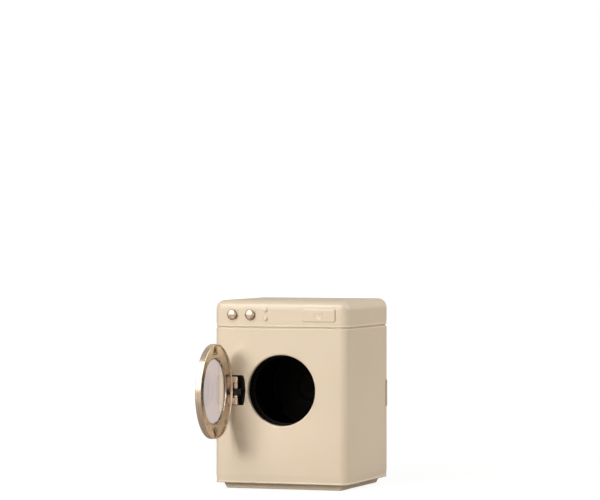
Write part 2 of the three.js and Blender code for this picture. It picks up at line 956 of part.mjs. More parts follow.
function hingePin() {
  return bar(hingePinRadius, barrelLow, barrelHigh, 0, 0, tinySides);
}

function hingeSleeve(low, high) {
  const sleeve = bar(knuckleRadius, low, high, 0, 0);
  return cut(sleeve, bar(hingePinRadius + gap, low - overrun, high + overrun, 0, 0, tinySides));
}

addPiece("cabinet_shell", cabinetShell(), paint);
addPiece("rear_panel", rearPanel(), paint);
addPiece("rear_clip_right", rearClip(1), paint);
addPiece("rear_clip_left", rearClip(-1), paint);
addPiece("plinth_tray", plinthTray(), paint);
addPiece("top_cap", topCap(), paint);
addPiece("front_frame", frontFrame(), mould);
addPiece("drum_tub", drumTub(), mould);
postPlaces().forEach((place, i) => addPiece(`tub_screw_${i + 1}`, tubScrew(place), steel));
addPiece("drum_bearing", drumBearing(), bronze);
addPiece("drum", drum(), mould);
addPiece("drum_axle", drumAxle(), steel);
addPiece("drum_axle_clip", drumAxleClip(), steel);
["left", "right"].forEach((hand, i) => {
  const place = knobPlaces()[i];
  addPiece(`knob_${hand}`, knob(place), plating);
  addPiece(`knob_${hand}_washer`, knobWasher(place), steel);
  addPiece(`knob_${hand}_nut`, knobNut(place), steel);
});
addPiece("door_back_bezel", doorBackBezel(), plating, door);
addPiece("door_front_bezel", doorFrontBezel(), plating, door);
addPiece("door_window", doorWindow(), clear, door);
addPiece("door_clip_top", doorClip(1), plating, door);
addPiece("door_clip_bottom", doorClip(-1), plating, door);
addPiece("hinge_pin", hingePin(), steel, door);
addPiece("hinge_sleeve_top", hingeSleeve(centreHigh + gap, barrelHigh - upperKnuckle), plating, door);
addPiece("hinge_sleeve_bottom", hingeSleeve(barrelLow + lowerKnuckle, centreLow - gap), plating, door);

export default machine;
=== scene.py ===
import json
import math

import bmesh
import bpy
from mathutils import Matrix, Vector


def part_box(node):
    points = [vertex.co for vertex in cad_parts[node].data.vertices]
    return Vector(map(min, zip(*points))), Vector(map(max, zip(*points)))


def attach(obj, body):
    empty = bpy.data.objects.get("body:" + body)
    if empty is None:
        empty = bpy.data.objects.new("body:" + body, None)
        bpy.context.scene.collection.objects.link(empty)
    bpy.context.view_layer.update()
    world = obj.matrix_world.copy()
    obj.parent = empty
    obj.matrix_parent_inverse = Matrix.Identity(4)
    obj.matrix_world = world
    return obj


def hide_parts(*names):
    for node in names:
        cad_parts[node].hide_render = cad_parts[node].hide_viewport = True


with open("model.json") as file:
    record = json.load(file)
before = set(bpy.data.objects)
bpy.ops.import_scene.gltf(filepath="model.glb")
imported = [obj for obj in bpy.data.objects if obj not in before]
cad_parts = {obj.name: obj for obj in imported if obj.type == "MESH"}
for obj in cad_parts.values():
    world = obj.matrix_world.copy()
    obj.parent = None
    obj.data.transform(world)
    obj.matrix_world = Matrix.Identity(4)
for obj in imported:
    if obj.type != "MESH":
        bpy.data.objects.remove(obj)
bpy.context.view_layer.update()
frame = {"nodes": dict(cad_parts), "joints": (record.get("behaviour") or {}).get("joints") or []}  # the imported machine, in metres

mm = 0.001  # the shapes below are drawn in millimetres and scaled once, when they are finished


# Camera, at the photograph's own angle: lengths in metres, angles in degrees
cameraView = {
    "lens": 201.4,
    "sensorWidth": 36,
    "place": (0.7397, -2.1196, 0.1800),
    "down": 0.58,
    "turn": 19.28,
    "farthest": 30,
}


def makeCamera():
    data = bpy.data.cameras.new("camera")
    data.lens = cameraView["lens"]
    data.sensor_width = cameraView["sensorWidth"]
    data.clip_end = cameraView["farthest"]
    camera = bpy.data.objects.new("camera", data)
    camera.location = cameraView["place"]
    camera.rotation_euler = (math.radians(90 - cameraView["down"]), 0, math.radians(cameraView["turn"]))
    bpy.context.scene.collection.objects.link(camera)
    bpy.context.scene.camera = camera


makeCamera()
print("camera placed")


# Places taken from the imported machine, in millimetres
def nodeBox(node):
    low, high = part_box(node)
    return low / mm, high / mm


def jointNamed(name):
    return next(joint for joint in frame["joints"] if joint["name"] == name)


def jointPlace(name):
    return Vector(jointNamed(name)["pos_m"]) / mm


shellLow, shellHigh = nodeBox("cabinet_shell")
capLow, capHigh = nodeBox("top_cap")
cabinetFront = shellLow.y
cabinetRear = shellHigh.y
cabinetWidth = shellHigh.x - shellLow.x
cabinetDepth = shellHigh.y - shellLow.y
mouthPlace = jointPlace("drum_spin")
hingePlace = jointPlace("door_hinge")
knobSpots = [jointPlace("knob_left_turn"), jointPlace("knob_right_turn")]
doorSwing = jointNamed("door_hinge")["range_deg"][1]
controlLine = knobSpots[0].z

# How finely the shapes are worked
bench = {
    "weld": 0.002,  # corners nearer than this become one
    "hair": 0.01,  # nearer than this counts as touching
    "overrun": 3.0,  # how far a cutter passes what it cuts
    "arcSteps": 5,
    "softSteps": 8,
    "outlineSteps": 6,
    "edgeSteps": 3,
    "sharpFold": 1.2,  # radians
    "upright": 0.5,  # a wall's normal reaches less than this towards the front
    "crease": 32,  # degrees
    "flatWeight": 60,
}

# The pressed sheet that the cabinet is made of
tinSheet = {"thickness": 0.8, "cornerRadius": 5.5, "cornerSteps": 14, "sharpest": 0.5}

# The hinge beside the mouth, with heights from the mouth's centre
hinge = {
    "barrelLow": -9.7,
    "barrelHigh": 8.7,
    "lowerKnuckle": 4.8,
    "upperKnuckle": 4.3,
    "centreLow": -3.5,
    "centreHigh": 0.8,
    "knuckleRadius": 1.65,
    "pinRadius": 0.55,
    "pinGap": 0.3,
    "pinSteps": 28,
    "pinEdge": 0.12,
    "barrelSteps": 48,
    "barrelEdge": 0.18,
    "boreEdge": 0.05,
}
barrelLow = mouthPlace.z + hinge["barrelLow"]
barrelHigh = mouthPlace.z + hinge["barrelHigh"]
centreLow = mouthPlace.z + hinge["centreLow"]
centreHigh = mouthPlace.z + hinge["centreHigh"]
pinBore = hinge["pinRadius"] + hinge["pinGap"]


# Small drawing helpers
def arc(x, y, radius, start, end, steps=bench["arcSteps"]):
    points = []
    for i in range(steps + 1):
        angle = math.radians(start + (end - start) * i / steps)
        points.append((x + radius * math.cos(angle), y + radius * math.sin(angle)))
    return points


def easedStep(start, end, steps=bench["softSteps"]):  # a soft S whose first coordinate is level at both ends
    points = []
    for i in range(steps + 1):
        t = i / steps
        eased = t * t * (3 - 2 * t)
        points.append((start[0] + (end[0] - start[0]) * eased, start[1] + (end[1] - start[1]) * t))
    return points


def rectangle(left, right, low, high, corner):
    return [(left, low, corner), (right, low, corner), (right, high, corner), (left, high, corner)]


def newest(items, known):
    return [item for item in items if item not in known]


def ease(bm, geom, radius, steps, kind="EDGES", clamp=False):  # rounds edges or corners
    bmesh.ops.bevel(
        bm,
        geom=geom,
        affect=kind,
        offset=radius,
        segments=steps,
        profile=0.5,
        material=-1,
        clamp_overlap=clamp,
    )


def roundCorners(bm, verts, corners, steps):  # a corner's third number is its rounding
    for vert, corner in zip(verts, corners):
        if len(corner) > 2 and corner[2]:
            ease(bm, [vert], corner[2], steps, "VERTICES")


def turnAbout(bm, verts, angle, axis):
    bmesh.ops.rotate(bm, cent=(0, 0, 0), matrix=Matrix.Rotation(angle, 3, axis), verts=verts)


def standUp(bm, verts, x, y, z):  # what was drawn facing up now faces the front
    turnAbout(bm, verts, math.radians(90), "X")
    bmesh.ops.translate(bm, vec=(x, y, z), verts=verts)


def drawOut(bm, faces, move):  # pulls flat faces into a solid
    drawn = bmesh.ops.extrude_face_region(bm, geom=faces, use_keep_orig=True)
    moved = [item for item in drawn["geom"] if isinstance(item, bmesh.types.BMVert)]
    bmesh.ops.translate(bm, vec=move, verts=moved)


# Outlines stacked into walls
def roundedLoop(bm, width, depth, corner, z, steps, keepFace=False):  # one closed outline, flat at a height
    knownEdges = set(bm.edges)
    knownFaces = set(bm.faces)
    made = bmesh.ops.create_grid(bm, x_segments=1, y_segments=1, size=0.5)
    bmesh.ops.scale(bm, vec=(width, depth, 1), verts=made["verts"])
    bmesh.ops.translate(bm, vec=(0, 0, z), verts=made["verts"])
    ease(bm, made["verts"], corner, steps, "VERTICES")
    edges = newest(bm.edges, knownEdges)
    if not keepFace:
        bmesh.ops.delete(bm, geom=newest(bm.faces, knownFaces), context="FACES_ONLY")
    return edges


def inTurn(edges):  # an outline's corners, anticlockwise from the one furthest up and right
    beside = {}
    for edge in edges:
        for vert in edge.verts:
            beside.setdefault(vert, []).append(edge.other_vert(vert))
    walk = [max(beside, key=lambda vert: vert.co.x + vert.co.y)]
    walk.append(beside[walk[0]][0])
    while len(walk) < len(beside):
        walk.append(next(vert for vert in beside[walk[-1]] if vert != walk[-2]))
    area = sum(a.co.x * b.co.y - b.co.x * a.co.y for a, b in zip(walk, walk[1:] + walk[:1]))
    return walk if area > 0 else walk[:1] + walk[:0:-1]


def bridgeUp(bm, loops, closed=False):  # joins each outline to the next one
    walks = [inTurn(loop) for loop in loops]
    pairs = list(zip(walks, walks[1:]))
    if closed:
        pairs.append((walks[-1], walks[0]))
    for lower, upper in pairs:
        for i in range(len(lower)):
            bm.faces.new((lower[i - 1], lower[i], upper[i], upper[i - 1]))


def stackedCabinet(levels, closed=False):  # levels are (inset from the cabinet's outside, height, tightening)
    bm = bmesh.new()
    loops = []
    for i, (inset, z, tighten) in enumerate(levels):
        width = cabinetWidth - 2 * inset
        depth = cabinetDepth - 2 * inset
        corner = max(tinSheet["cornerRadius"] - tighten, tinSheet["sharpest"])
        atEnd = not closed and i in (0, len(levels) - 1)
        loops.append(roundedLoop(bm, width, depth, corner, z, tinSheet["cornerSteps"], atEnd))
    bridgeUp(bm, loops, closed)
    return bm


def plain(points):  # levels whose corners tighten with their inset
    return [(inset, z, inset) for inset, z in points]


# Turned, extruded and boxed solids
def spinRound(bm, geom, x, z, steps):  # about an axis along Y through (x, z)
    bmesh.ops.spin(
        bm, geom=geom, cent=(x, 0, z), axis=(0, 1, 0), angle=2 * math.pi, steps=steps, use_merge=True
    )


def turnedSolid(corners, x, z, steps):  # corners are (radius, y, rounding)
    bm = bmesh.new()
    verts = [bm.verts.new((x + corner[0], corner[1], z)) for corner in corners]
    bm.faces.new(verts)
    roundCorners(bm, verts, corners, bench["arcSteps"])
    bmesh.ops.delete(bm, geom=list(bm.faces), context="FACES_ONLY")
    spinRound(bm, list(bm.verts) + list(bm.edges), x, z, steps)
    return bm


def plug(radius, front, back, x, z, steps):  # a plain disc or rod along Y
    return turnedSolid([(0, front), (radius, front), (radius, back), (0, back)], x, z, steps)


def extrudedSolid(corners, front, back):  # corners are (x, z, rounding), seen from the front
    bm = bmesh.new()
    verts = [bm.verts.new((corner[0], front, corner[1])) for corner in corners]
    bm.faces.new(verts)
    roundCorners(bm, verts, corners, bench["outlineSteps"])
    drawOut(bm, list(bm.faces), (0, back - front, 0))
    return bm


def easedBox(low, high, edge):
    bm = bmesh.new()
    bmesh.ops.create_cube(bm, size=1)
    bmesh.ops.scale(bm, vec=Vector(high) - Vector(low), verts=bm.verts)
    bmesh.ops.translate(bm, vec=(Vector(high) + Vector(low)) / 2, verts=bm.verts)
    ease(bm, list(bm.edges), edge, bench["edgeSteps"])
    return bm


def hingeBar(radius, low, high, steps, edge):  # a bar on the hinge's line, with eased ends
    bm = bmesh.new()
    bmesh.ops.create_cone(bm, cap_ends=True, segments=steps, radius1=radius, radius2=radius, depth=high - low)
    bmesh.ops.translate(bm, vec=(hingePlace.x, hingePlace.y, (low + high) / 2), verts=bm.verts)
    rims = [e for e in bm.edges if abs(e.verts[0].co.z - e.verts[1].co.z) < bench["hair"]]
    ease(bm, rims, edge, bench["edgeSteps"], clamp=True)
    return bm


def hingeBarrel(low, high, edge=hinge["barrelEdge"], boreEdge=hinge["boreEdge"]):  # bored for the pin
    radius = hinge["knuckleRadius"]
    height = high - low
    corners = [(pinBore, 0, boreEdge), (radius, 0, edge), (radius, height, edge), (pinBore, height, boreEdge)]
    bm = turnedSolid(corners, 0, 0, hinge["barrelSteps"])
    standUp(bm, bm.verts, hingePlace.x, hingePlace.y, low)
    return bm


# Cutting, joining and finishing of drawn shapes
def weldUp(bm):
    bmesh.ops.remove_doubles(bm, verts=bm.verts, dist=bench["weld"])
    bmesh.ops.recalc_face_normals(bm, faces=bm.faces)


def sketch(bm):
    weldUp(bm)
    mesh = bpy.data.meshes.new("sketch")
    bm.to_mesh(mesh)
    bm.free()
    holder = bpy.data.objects.new("sketch", mesh)
    bpy.context.scene.collection.objects.link(holder)
    return holder


def reshaped(bm, others, operation="DIFFERENCE"):
    body = sketch(bm)
    tools = [sketch(other) for other in others]
    for tool in tools:
        change = body.modifiers.new("reshape", "BOOLEAN")
        change.operation = operation
        change.solver = "EXACT"
        change.object = tool
    graph = bpy.context.evaluated_depsgraph_get()
    mesh = bpy.data.meshes.new_from_object(body.evaluated_get(graph))
    result = bmesh.new()
    result.from_mesh(mesh)
    for holder in [body] + tools:
        data = holder.data
        bpy.data.objects.remove(holder)
        bpy.data.meshes.remove(data)
    bpy.data.meshes.remove(mesh)
    return result


def merged(*parts):  # several closed shapes in one mesh
    whole = bmesh.new()
    for part in parts:
        weldUp(part)
        mesh = bpy.data.meshes.new("part")
        part.to_mesh(mesh)
        part.free()
        whole.from_mesh(mesh)
        bpy.data.meshes.remove(mesh)
    return whole


def finishPiece(bm, name, material, body, nodes, crease=bench["crease"], clean=True, swing=False):
    if clean:
        weldUp(bm)
    if swing:  # drawn closed, stored open
        turn = Matrix.Rotation(math.radians(-doorSwing), 3, "Z")
        bmesh.ops.rotate(bm, cent=hingePlace, matrix=turn, verts=bm.verts)
    bmesh.ops.scale(bm, vec=(mm, mm, mm), verts=bm.verts)
    mesh = bpy.data.meshes.new(name)
    bm.to_mesh(mesh)
    bm.free()
    for polygon in mesh.polygons:
        polygon.use_smooth = True
    mesh.set_sharp_from_angle(angle=math.radians(crease))
    piece = bpy.data.objects.new(name, mesh)
    bpy.context.scene.collection.objects.link(piece)
    piece.data.materials.append(material)
    weighted = piece.modifiers.new("flats", "WEIGHTED_NORMAL")
    weighted.keep_sharp = True
    weighted.weight = bench["flatWeight"]
    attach(piece, body)
    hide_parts(*nodes)
    print("made", name, len(mesh.polygons), "faces")


# Shader groups, and the numbers that shape their patterns
pattern = {
    "finerScale": 3.1,
    "finerShare": 0.3,
    "toneRange": (0.3, 0.7),
    "markRange": (0.42, 0.68),
    "speckChance": 0.86,
    "broadScale": 0.2,
    "glintRange": (0.35, 0.65),
}


def newGroup(name, inputs, outputs):
    group = bpy.data.node_groups.new(name, "ShaderNodeTree")
    for label, kind, value in inputs:
        socket = group.interface.new_socket(name=label, in_out="INPUT", socket_type=kind)
        socket.default_value = value
    for label in outputs:
        group.interface.new_socket(name=label, in_out="OUTPUT", socket_type="NodeSocketFloat")
    return group, group.nodes.new("NodeGroupInput"), group.nodes.new("NodeGroupOutput")


def addMath(tree, operation, first, second=0.0, third=0.0):
    node = tree.nodes.new("ShaderNodeMath")
    node.operation = operation
    for socket, value in zip(node.inputs, (first, second, third)):
        if isinstance(value, (int, float)):
            socket.default_value = value
        else:
            tree.links.new(value, socket)
    return node.outputs[0]


def addVectorMath(tree, operation, *values):
    node = tree.nodes.new("ShaderNodeVectorMath")
    node.operation = operation
    for socket, value in zip(node.inputs, values):
        tree.links.new(value, socket)
    return node


def addNoise(tree, vector, scale, detail=2.0, roughness=0.5, distortion=0.0):
    node = tree.nodes.new("ShaderNodeTexNoise")
    node.inputs["Detail"].default_value = detail
    node.inputs["Roughness"].default_value = roughness
    node.inputs["Distortion"].default_value = distortion
    tree.links.new(scale, node.inputs["Scale"])
    tree.links.new(vector, node.inputs["Vector"])
    return node.outputs["Fac"]


def addRange(tree, value, fromLow, fromHigh, toLow=0.0, toHigh=1.0):
    node = tree.nodes.new("ShaderNodeMapRange")
    node.interpolation_type = "SMOOTHSTEP"
    node.inputs["From Min"].default_value = fromLow
    node.inputs["From Max"].default_value = fromHigh
    node.inputs["To Min"].default_value = toLow
    node.inputs["To Max"].default_value = toHigh
    tree.links.new(value, node.inputs["Value"])
    return node.outputs["Result"]


def ownPlace(tree):  # the piece's own coordinates
    return tree.nodes.new("ShaderNodeTexCoord").outputs["Object"]


def surfaceGroup():  # slow tone, hand marks and a fine skin
    group, start, end = newGroup(
        "surfaceLife",
        [
            ("Tone Scale", "NodeSocketFloat", 16.0),
            ("Mark Scale", "NodeSocketFloat", 70.0),
            ("Skin Scale", "NodeSocketFloat", 900.0),
        ],
        ["Tone", "Marks", "Skin"],
    )
    place = ownPlace(group)
    slow = addNoise(group, place, start.outputs["Tone Scale"], detail=3.0, distortion=0.3)
    marks = addNoise(group, place, start.outputs["Mark Scale"], detail=4.0, roughness=0.6, distortion=0.8)
    coarse = addNoise(group, place, start.outputs["Skin Scale"], detail=1.0, roughness=0.4)
    finerScale = addMath(group, "MULTIPLY", start.outputs["Skin Scale"], pattern["finerScale"])
    fine = addNoise(group, place, finerScale, detail=1.0)
    skin = addMath(group, "MULTIPLY_ADD", fine, pattern["finerShare"], coarse)
    group.links.new(addRange(group, slow, *pattern["toneRange"]), end.inputs["Tone"])
    group.links.new(addRange(group, marks, *pattern["markRange"]), end.inputs["Marks"])
    group.links.new(skin, end.inputs["Skin"])
    return group


def speckGroup():  # sparse tiny dots, such as dust that settled in the paint
    group, start, end = newGroup(
        "settledSpecks",
        [("Scale", "NodeSocketFloat", 260.0), ("Size", "NodeSocketFloat", 0.12)],
        ["Mask"],
    )
    cells = group.nodes.new("ShaderNodeTexVoronoi")
    group.links.new(ownPlace(group), cells.inputs["Vector"])
    group.links.new(start.outputs["Scale"], cells.inputs["Scale"])
    split = group.nodes.new("ShaderNodeSeparateColor")
    group.links.new(cells.outputs["Color"], split.inputs["Color"])
    chosen = addMath(group, "GREATER_THAN", split.outputs["Red"], pattern["speckChance"])
    near = addMath(group, "LESS_THAN", cells.outputs["Distance"], start.outputs["Size"])
    group.links.new(addMath(group, "MULTIPLY", chosen, near), end.inputs["Mask"])
    return group


def turnedGroup():  # fine rings left by spinning and polishing about an axis
    group, start, end = newGroup(
        "turnedLines",
        [
            ("Centre", "NodeSocketVector", (0.0, 0.0, 0.0)),
            ("Across", "NodeSocketVector", (1.0, 1.0, 1.0)),
            ("Lines", "NodeSocketFloat", 5200.0),
        ],
        ["Rings", "Glints", "Reach"],
    )
    shifted = addVectorMath(group, "SUBTRACT", ownPlace(group), start.outputs["Centre"])
    flattened = addVectorMath(group, "MULTIPLY", shifted.outputs[0], start.outputs["Across"])
    reach = addVectorMath(group, "LENGTH", flattened.outputs[0]).outputs["Value"]
    along = group.nodes.new("ShaderNodeCombineXYZ")
    group.links.new(reach, along.inputs["X"])
    rings = addNoise(group, along.outputs[0], start.outputs["Lines"], roughness=0.6)
    broadScale = addMath(group, "MULTIPLY", start.outputs["Lines"], pattern["broadScale"])
    broad = addNoise(group, along.outputs[0], broadScale, detail=1.0)
    group.links.new(reach, end.inputs["Reach"])
    group.links.new(rings, end.inputs["Rings"])
    group.links.new(addRange(group, broad, *pattern["glintRange"]), end.inputs["Glints"])
    return group


surfaceLife = surfaceGroup()
settledSpecks = speckGroup()
turnedLines = turnedGroup()
print("shader groups made")


# Materials, with colours as linear values and pattern heights in metres
def newMaterial(name, sockets):
    material = bpy.data.materials.new(name)
    material.use_nodes = True
    tree = material.node_tree
    shader = tree.nodes["Principled BSDF"]
    for label, value in sockets.items():
        shader.inputs[label].default_value = value
    return material, tree, shader


def placeGroup(tree, group, **values):
    node = tree.nodes.new("ShaderNodeGroup")
    node.node_tree = group
    for label, value in values.items():
        node.inputs[label.replace("_", " ")].default_value = value
    return node


def placeLife(tree, look):
    tone, mark, skin = look["scales"]
    return placeGroup(tree, surfaceLife, Tone_Scale=tone, Mark_Scale=mark, Skin_Scale=skin)


def addMix(tree, factor, first, second):
    node = tree.nodes.new("ShaderNodeMix")
    node.data_type = "RGBA"
    tree.links.new(factor, node.inputs["Factor"])
    for socket, value in ((node.inputs[6], first), (node.inputs[7], second)):  # the two colour sockets
        if isinstance(value, tuple):
            socket.default_value = value + (1.0,)
        else:
            tree.links.new(value, socket)
    return node.outputs[2]


def addMarks(tree, life, look):  # hand marks dull the surface here and there
    return addMath(tree, "MULTIPLY_ADD", life.outputs["Marks"], look["markRough"], look["roughness"])


def addBump(tree, shader, height, look):
    node = tree.nodes.new("ShaderNodeBump")
    node.inputs["Distance"].default_value = look["bumpHeight"]
    node.inputs["Strength"].default_value = look["bumpStrength"]
    tree.links.new(height, node.inputs["Height"])
    tree.links.new(node.outputs["Normal"], shader.inputs["Normal"])


def twoToned(name, look, sockets):  # one finish in two close tones, with marks and a fine skin
    material, tree, shader = newMaterial(name, sockets)
    life = placeLife(tree, look)
    colour = addMix(tree, life.outputs["Tone"], *look["tones"])
    tree.links.new(colour, shader.inputs["Base Color"])
    tree.links.new(addMarks(tree, life, look), shader.inputs["Roughness"])
    addBump(tree, shader, life.outputs["Skin"], look)
    return material


enamelLook = {
    "tones": [(0.768, 0.655, 0.500), (0.750, 0.636, 0.480)],
    "speck": (0.640, 0.500, 0.350),
    "speckScale": 240.0,
    "speckSize": 0.05,
    "speckShare": 0.5,
    "scales": (15.0, 60.0, 850.0),  # of the tone, the marks and the skin, as in every look below
    "roughness": 0.45,
    "markRough": 0.06,
    "bumpHeight": 0.00001,
    "bumpStrength": 0.6,
    "ior": 1.5,
    "specular": 0.12,
    "coatRoughness": 0.04,
    "gloss": 0.55,
    "wipedGloss": 0.08,
    "wipedFrom": 1.0,  # millimetres under the lid's top
    "wipedBy": 0.3,
}


def creamEnamel():
    look = enamelLook
    material, tree, shader = newMaterial(
        "creamEnamel",
        {
            "Coat Roughness": look["coatRoughness"],
            "Coat IOR": look["ior"],
            "IOR": look["ior"],
            "Specular IOR Level": look["specular"],
        },
    )
    life = placeLife(tree, look)
    specks = placeGroup(tree, settledSpecks, Scale=look["speckScale"], Size=look["speckSize"])
    specked = addMath(tree, "MULTIPLY", specks.outputs["Mask"], look["speckShare"])
    paint = addMix(tree, life.outputs["Tone"], *look["tones"])
    paint = addMix(tree, specked, paint, look["speck"])
    tree.links.new(paint, shader.inputs["Base Color"])
    tree.links.new(addMarks(tree, life, look), shader.inputs["Roughness"])
    # The flat top has lost its gloss to handling and wiping
    split = tree.nodes.new("ShaderNodeSeparateXYZ")
    tree.links.new(ownPlace(tree), split.inputs[0])
    start = (capHigh.z - look["wipedFrom"]) * mm
    end = (capHigh.z - look["wipedBy"]) * mm
    gloss = addRange(tree, split.outputs["Z"], start, end, look["gloss"], look["wipedGloss"])
    tree.links.new(gloss, shader.inputs["Coat Weight"])
    addBump(tree, shader, life.outputs["Skin"], look)
    return material


platingLook = {
    "tones": [(0.800, 0.675, 0.535), (0.750, 0.620, 0.480)],
    # The knobs get a brown band at the rim: painted shade and painted dark reflection of their side walls
    "rimShaded": False,
    "rimShade": (0.270, 0.160, 0.095),
    "rimShadeFrom": 0.00275,  # metres from the axis
    "rimShadeBy": 0.00325,
    "scales": (45.0, 150.0, 1500.0),
    "toneShare": 0.5,
    "glintShare": 0.35,
    "roughness": 0.21,
    "markRough": 0.05,
    "glintRough": 0.04,
    "lines": 5200.0,
    "bumpHeight": 0.000002,
    "bumpStrength": 0.7,
}
barrelLook = dict(platingLook, lines=2600.0, roughness=0.16)
knobLook = dict(platingLook, lines=4200.0, roughness=0.2, rimShaded=True)


def goldPlating(name, look, centre, across):  # across masks the axis that it was turned about
    material, tree, shader = newMaterial(name, {"Metallic": 1.0})
    life = placeLife(tree, look)
    turned = placeGroup(tree, turnedLines, Centre=centre, Across=across, Lines=look["lines"])
    tone = addMath(tree, "MULTIPLY", turned.outputs["Glints"], look["glintShare"])
    tone = addMath(tree, "MULTIPLY_ADD", life.outputs["Tone"], look["toneShare"], tone)
    gold = addMix(tree, tone, *look["tones"])
    if look["rimShaded"]:  # painted shade: a brown band at the knob's rim, standing for the dark reflection and shadow at its side
        edge = addRange(tree, turned.outputs["Reach"], look["rimShadeFrom"], look["rimShadeBy"])
        gold = addMix(tree, edge, gold, look["rimShade"])
    tree.links.new(gold, shader.inputs["Base Color"])
    rough = addMarks(tree, life, look)
    rough = addMath(tree, "MULTIPLY_ADD", turned.outputs["Glints"], look["glintRough"], rough)
    tree.links.new(rough, shader.inputs["Roughness"])
    addBump(tree, shader, turned.outputs["Rings"], look)
    return material


mouldingLook = {
    "tones": [(0.0085, 0.0070, 0.0062), (0.013, 0.0108, 0.0098)],
    "roughness": 0.22,
    "ior": 1.49,
    "specular": 0.4,
    "scales": (40.0, 110.0, 1100.0),
    "markRough": 0.12,
    "bumpHeight": 0.00001,
    "bumpStrength": 0.5,
}
# The drum's black is deeper than the moulding's: its own black plastic, made darker to paint the shade deep
# inside the mouth
drumLook = dict(
    mouldingLook,
    tones=[(0.0032, 0.0024, 0.0020), (0.0050, 0.0040, 0.0034)],
    roughness=0.45,
    specular=0.1,
)


def blackMoulding(name, look):
    return twoToned(name, look, {"IOR": look["ior"], "Specular IOR Level": look["specular"]})


paneLook = {
    "tones": [(0.94, 0.915, 0.91), (0.93, 0.905, 0.90)],
    "ior": 1.15,  # low, so that what is behind the thick middle shifts only a little
    "roughness": 0.01,
    "scales": (30.0, 90.0, 700.0),
    "markRough": 0.02,
    "bumpHeight": 0.000002,
    "bumpStrength": 0.3,
}


def clearPane():
    sockets = {"Transmission Weight": 1.0, "IOR": paneLook["ior"], "Metallic": 0.0}
    return twoToned("clearPane", paneLook, sockets)


# Dark brown for the clips: their own browned plating, made darker to paint the shade in the gaps around them
clipLook = {
    "tones": [(0.42, 0.33, 0.25), (0.30, 0.22, 0.16)],
    "roughness": 0.22,
    "scales": (90.0, 300.0, 1800.0),
    "markRough": 0.15,
    "bumpHeight": 0.00001,
    "bumpStrength": 0.5,
}
steelLook = dict(clipLook, tones=[(0.56, 0.54, 0.51), (0.44, 0.42, 0.40)], roughness=0.28)
blackenedLook = dict(clipLook, tones=[(0.012, 0.011, 0.010), (0.008, 0.007, 0.006)], roughness=0.5)
bronzeLook = dict(clipLook, tones=[(0.42, 0.27, 0.13), (0.30, 0.19, 0.09)], roughness=0.42)


def wornMetal(name, look):
    return twoToned(name, look, {"Metallic": 1.0})


windowLow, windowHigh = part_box("door_window")
ringAxis = tuple((windowLow + windowHigh) / 2)
enamel = creamEnamel()
ringPlating = goldPlating("goldPlating", platingLook, ringAxis, (0.0, 1.0, 1.0))
barrelPlating = goldPlating("goldPlatingBarrels", barrelLook, tuple(hingePlace * mm), (1.0, 1.0, 0.0))
knobPlatings = [
    goldPlating("goldPlatingKnob" + hand, knobLook, tuple(spot * mm), (1.0, 0.0, 1.0))
    for hand, spot in zip(("Left", "Right"), knobSpots)
]
clipMetal = wornMetal("darkClips", clipLook)
moulding = blackMoulding("blackMoulding", mouldingLook)
drumBlack = blackMoulding("blackDrum", drumLook)
pane = clearPane()
steel = wornMetal("brightSteel", steelLook)
blackened = wornMetal("blackenedSteel", blackenedLook)
bronze = wornMetal("sinteredBronze", bronzeLook)
print("materials made")


# Cabinet wrap: front, sides and rear corners in one sheet, with the rolled mouth and the hinge window
wrap = {
    "hemHeight": 1.5,
    "hemInset": 0.3,
    "hemStep": 4.5,
    "hemTurn": 2.5,
    "hemEdge": 0.45,
    "hemEdgeSteps": 6,
    "flare": 0.04,  # how far the hem's edge stays inside the sheet above it
    "shoulder": 0.7,
    "shoulderRun": 0.3,
    "capLift": 0.55,
    "neckInset": 1.1,
    "neckHeight": 4.0,
    "neckEdge": 0.15,
    "mouthRadius": 23.3,
    "rollOuter": 1.3,
    "rollInner": 0.5,
    "rollDepth": 3.0,
    "rollLip": 0.2,
    "rollArcSteps": 10,
    "rollSteps": 144,
    "windowLeft": 3.8,
    "windowRight": 5.2,
    "windowBow": 1.4,  # the window's right side bows towards the mouth
    "windowBowSteps": 12,
    "windowBelow": 0.4,  # room beyond the knuckles
    "windowAbove": 1.0,
    "windowCorner": 0.7,
    "rimEdge": 0.28,
    "rimReach": 9.0,  # edges this far right of the hinge, and this far from its middle, are the window's
    "rimHeight": 12.0,
    "rearFlange": 7.0,
    "rearLow": 15.6,
    "rearHigh": 99.55,
    "rearCorner": 3.0,
}
shellTop = capLow.z - wrap["capLift"]


def windowOutline(grow=0.0):
    left = hingePlace.x - wrap["windowLeft"] - grow
    right = hingePlace.x + wrap["windowRight"] + grow
    low = barrelLow - wrap["windowBelow"] - grow
    high = barrelHigh + wrap["windowAbove"] + grow
    corner = wrap["windowCorner"] + grow
    steps = wrap["windowBowSteps"]
    points = [(left, low, corner), (right, low, corner)]
    for i in range(1, steps):
        along = 2 * i / steps - 1
        bow = wrap["windowBow"] * (1 - along * along)
        points.append((right + bow, low + (high - low) * i / steps, 0))
    return points + [(right, high, corner), (left, high, corner)]


def wrapLevels():
    t = tinSheet["thickness"]
    low = shellLow.z
    hem = wrap["hemInset"]
    hemTop = low + wrap["hemHeight"]
    hemEnd = hemTop + wrap["hemStep"]
    turned = hem + wrap["hemTurn"]
    neck = wrap["neckInset"]
    neckTop = shellTop + wrap["neckHeight"]
    bend = wrap["neckEdge"]
    shoulder = wrap["shoulder"]
    edge = wrap["hemEdge"]
    flare = wrap["flare"]
    outside = arc(flare + edge, low + edge, edge, 270, 180, wrap["hemEdgeSteps"])
    outside += easedStep((flare, low + edge), (hem, hemTop))[1:]
    outside += easedStep((hem, hemTop), (0, hemEnd))[1:]
    outside += [(0, shellTop - shoulder - wrap["shoulderRun"])]
    outside += arc(shoulder, shellTop - shoulder, shoulder, 180, 90)
    outside += [(neck - bend, shellTop), (neck, shellTop + bend), (neck, neckTop)]
    inside = [(neck + t, neckTop), (neck + t, shellTop - t), (t, shellTop - t)]
    inside += [(t, hemEnd), (hem + t, hemTop), (hem + t, low + t), (turned, low + t), (turned, low)]
    return plain(outside + inside)


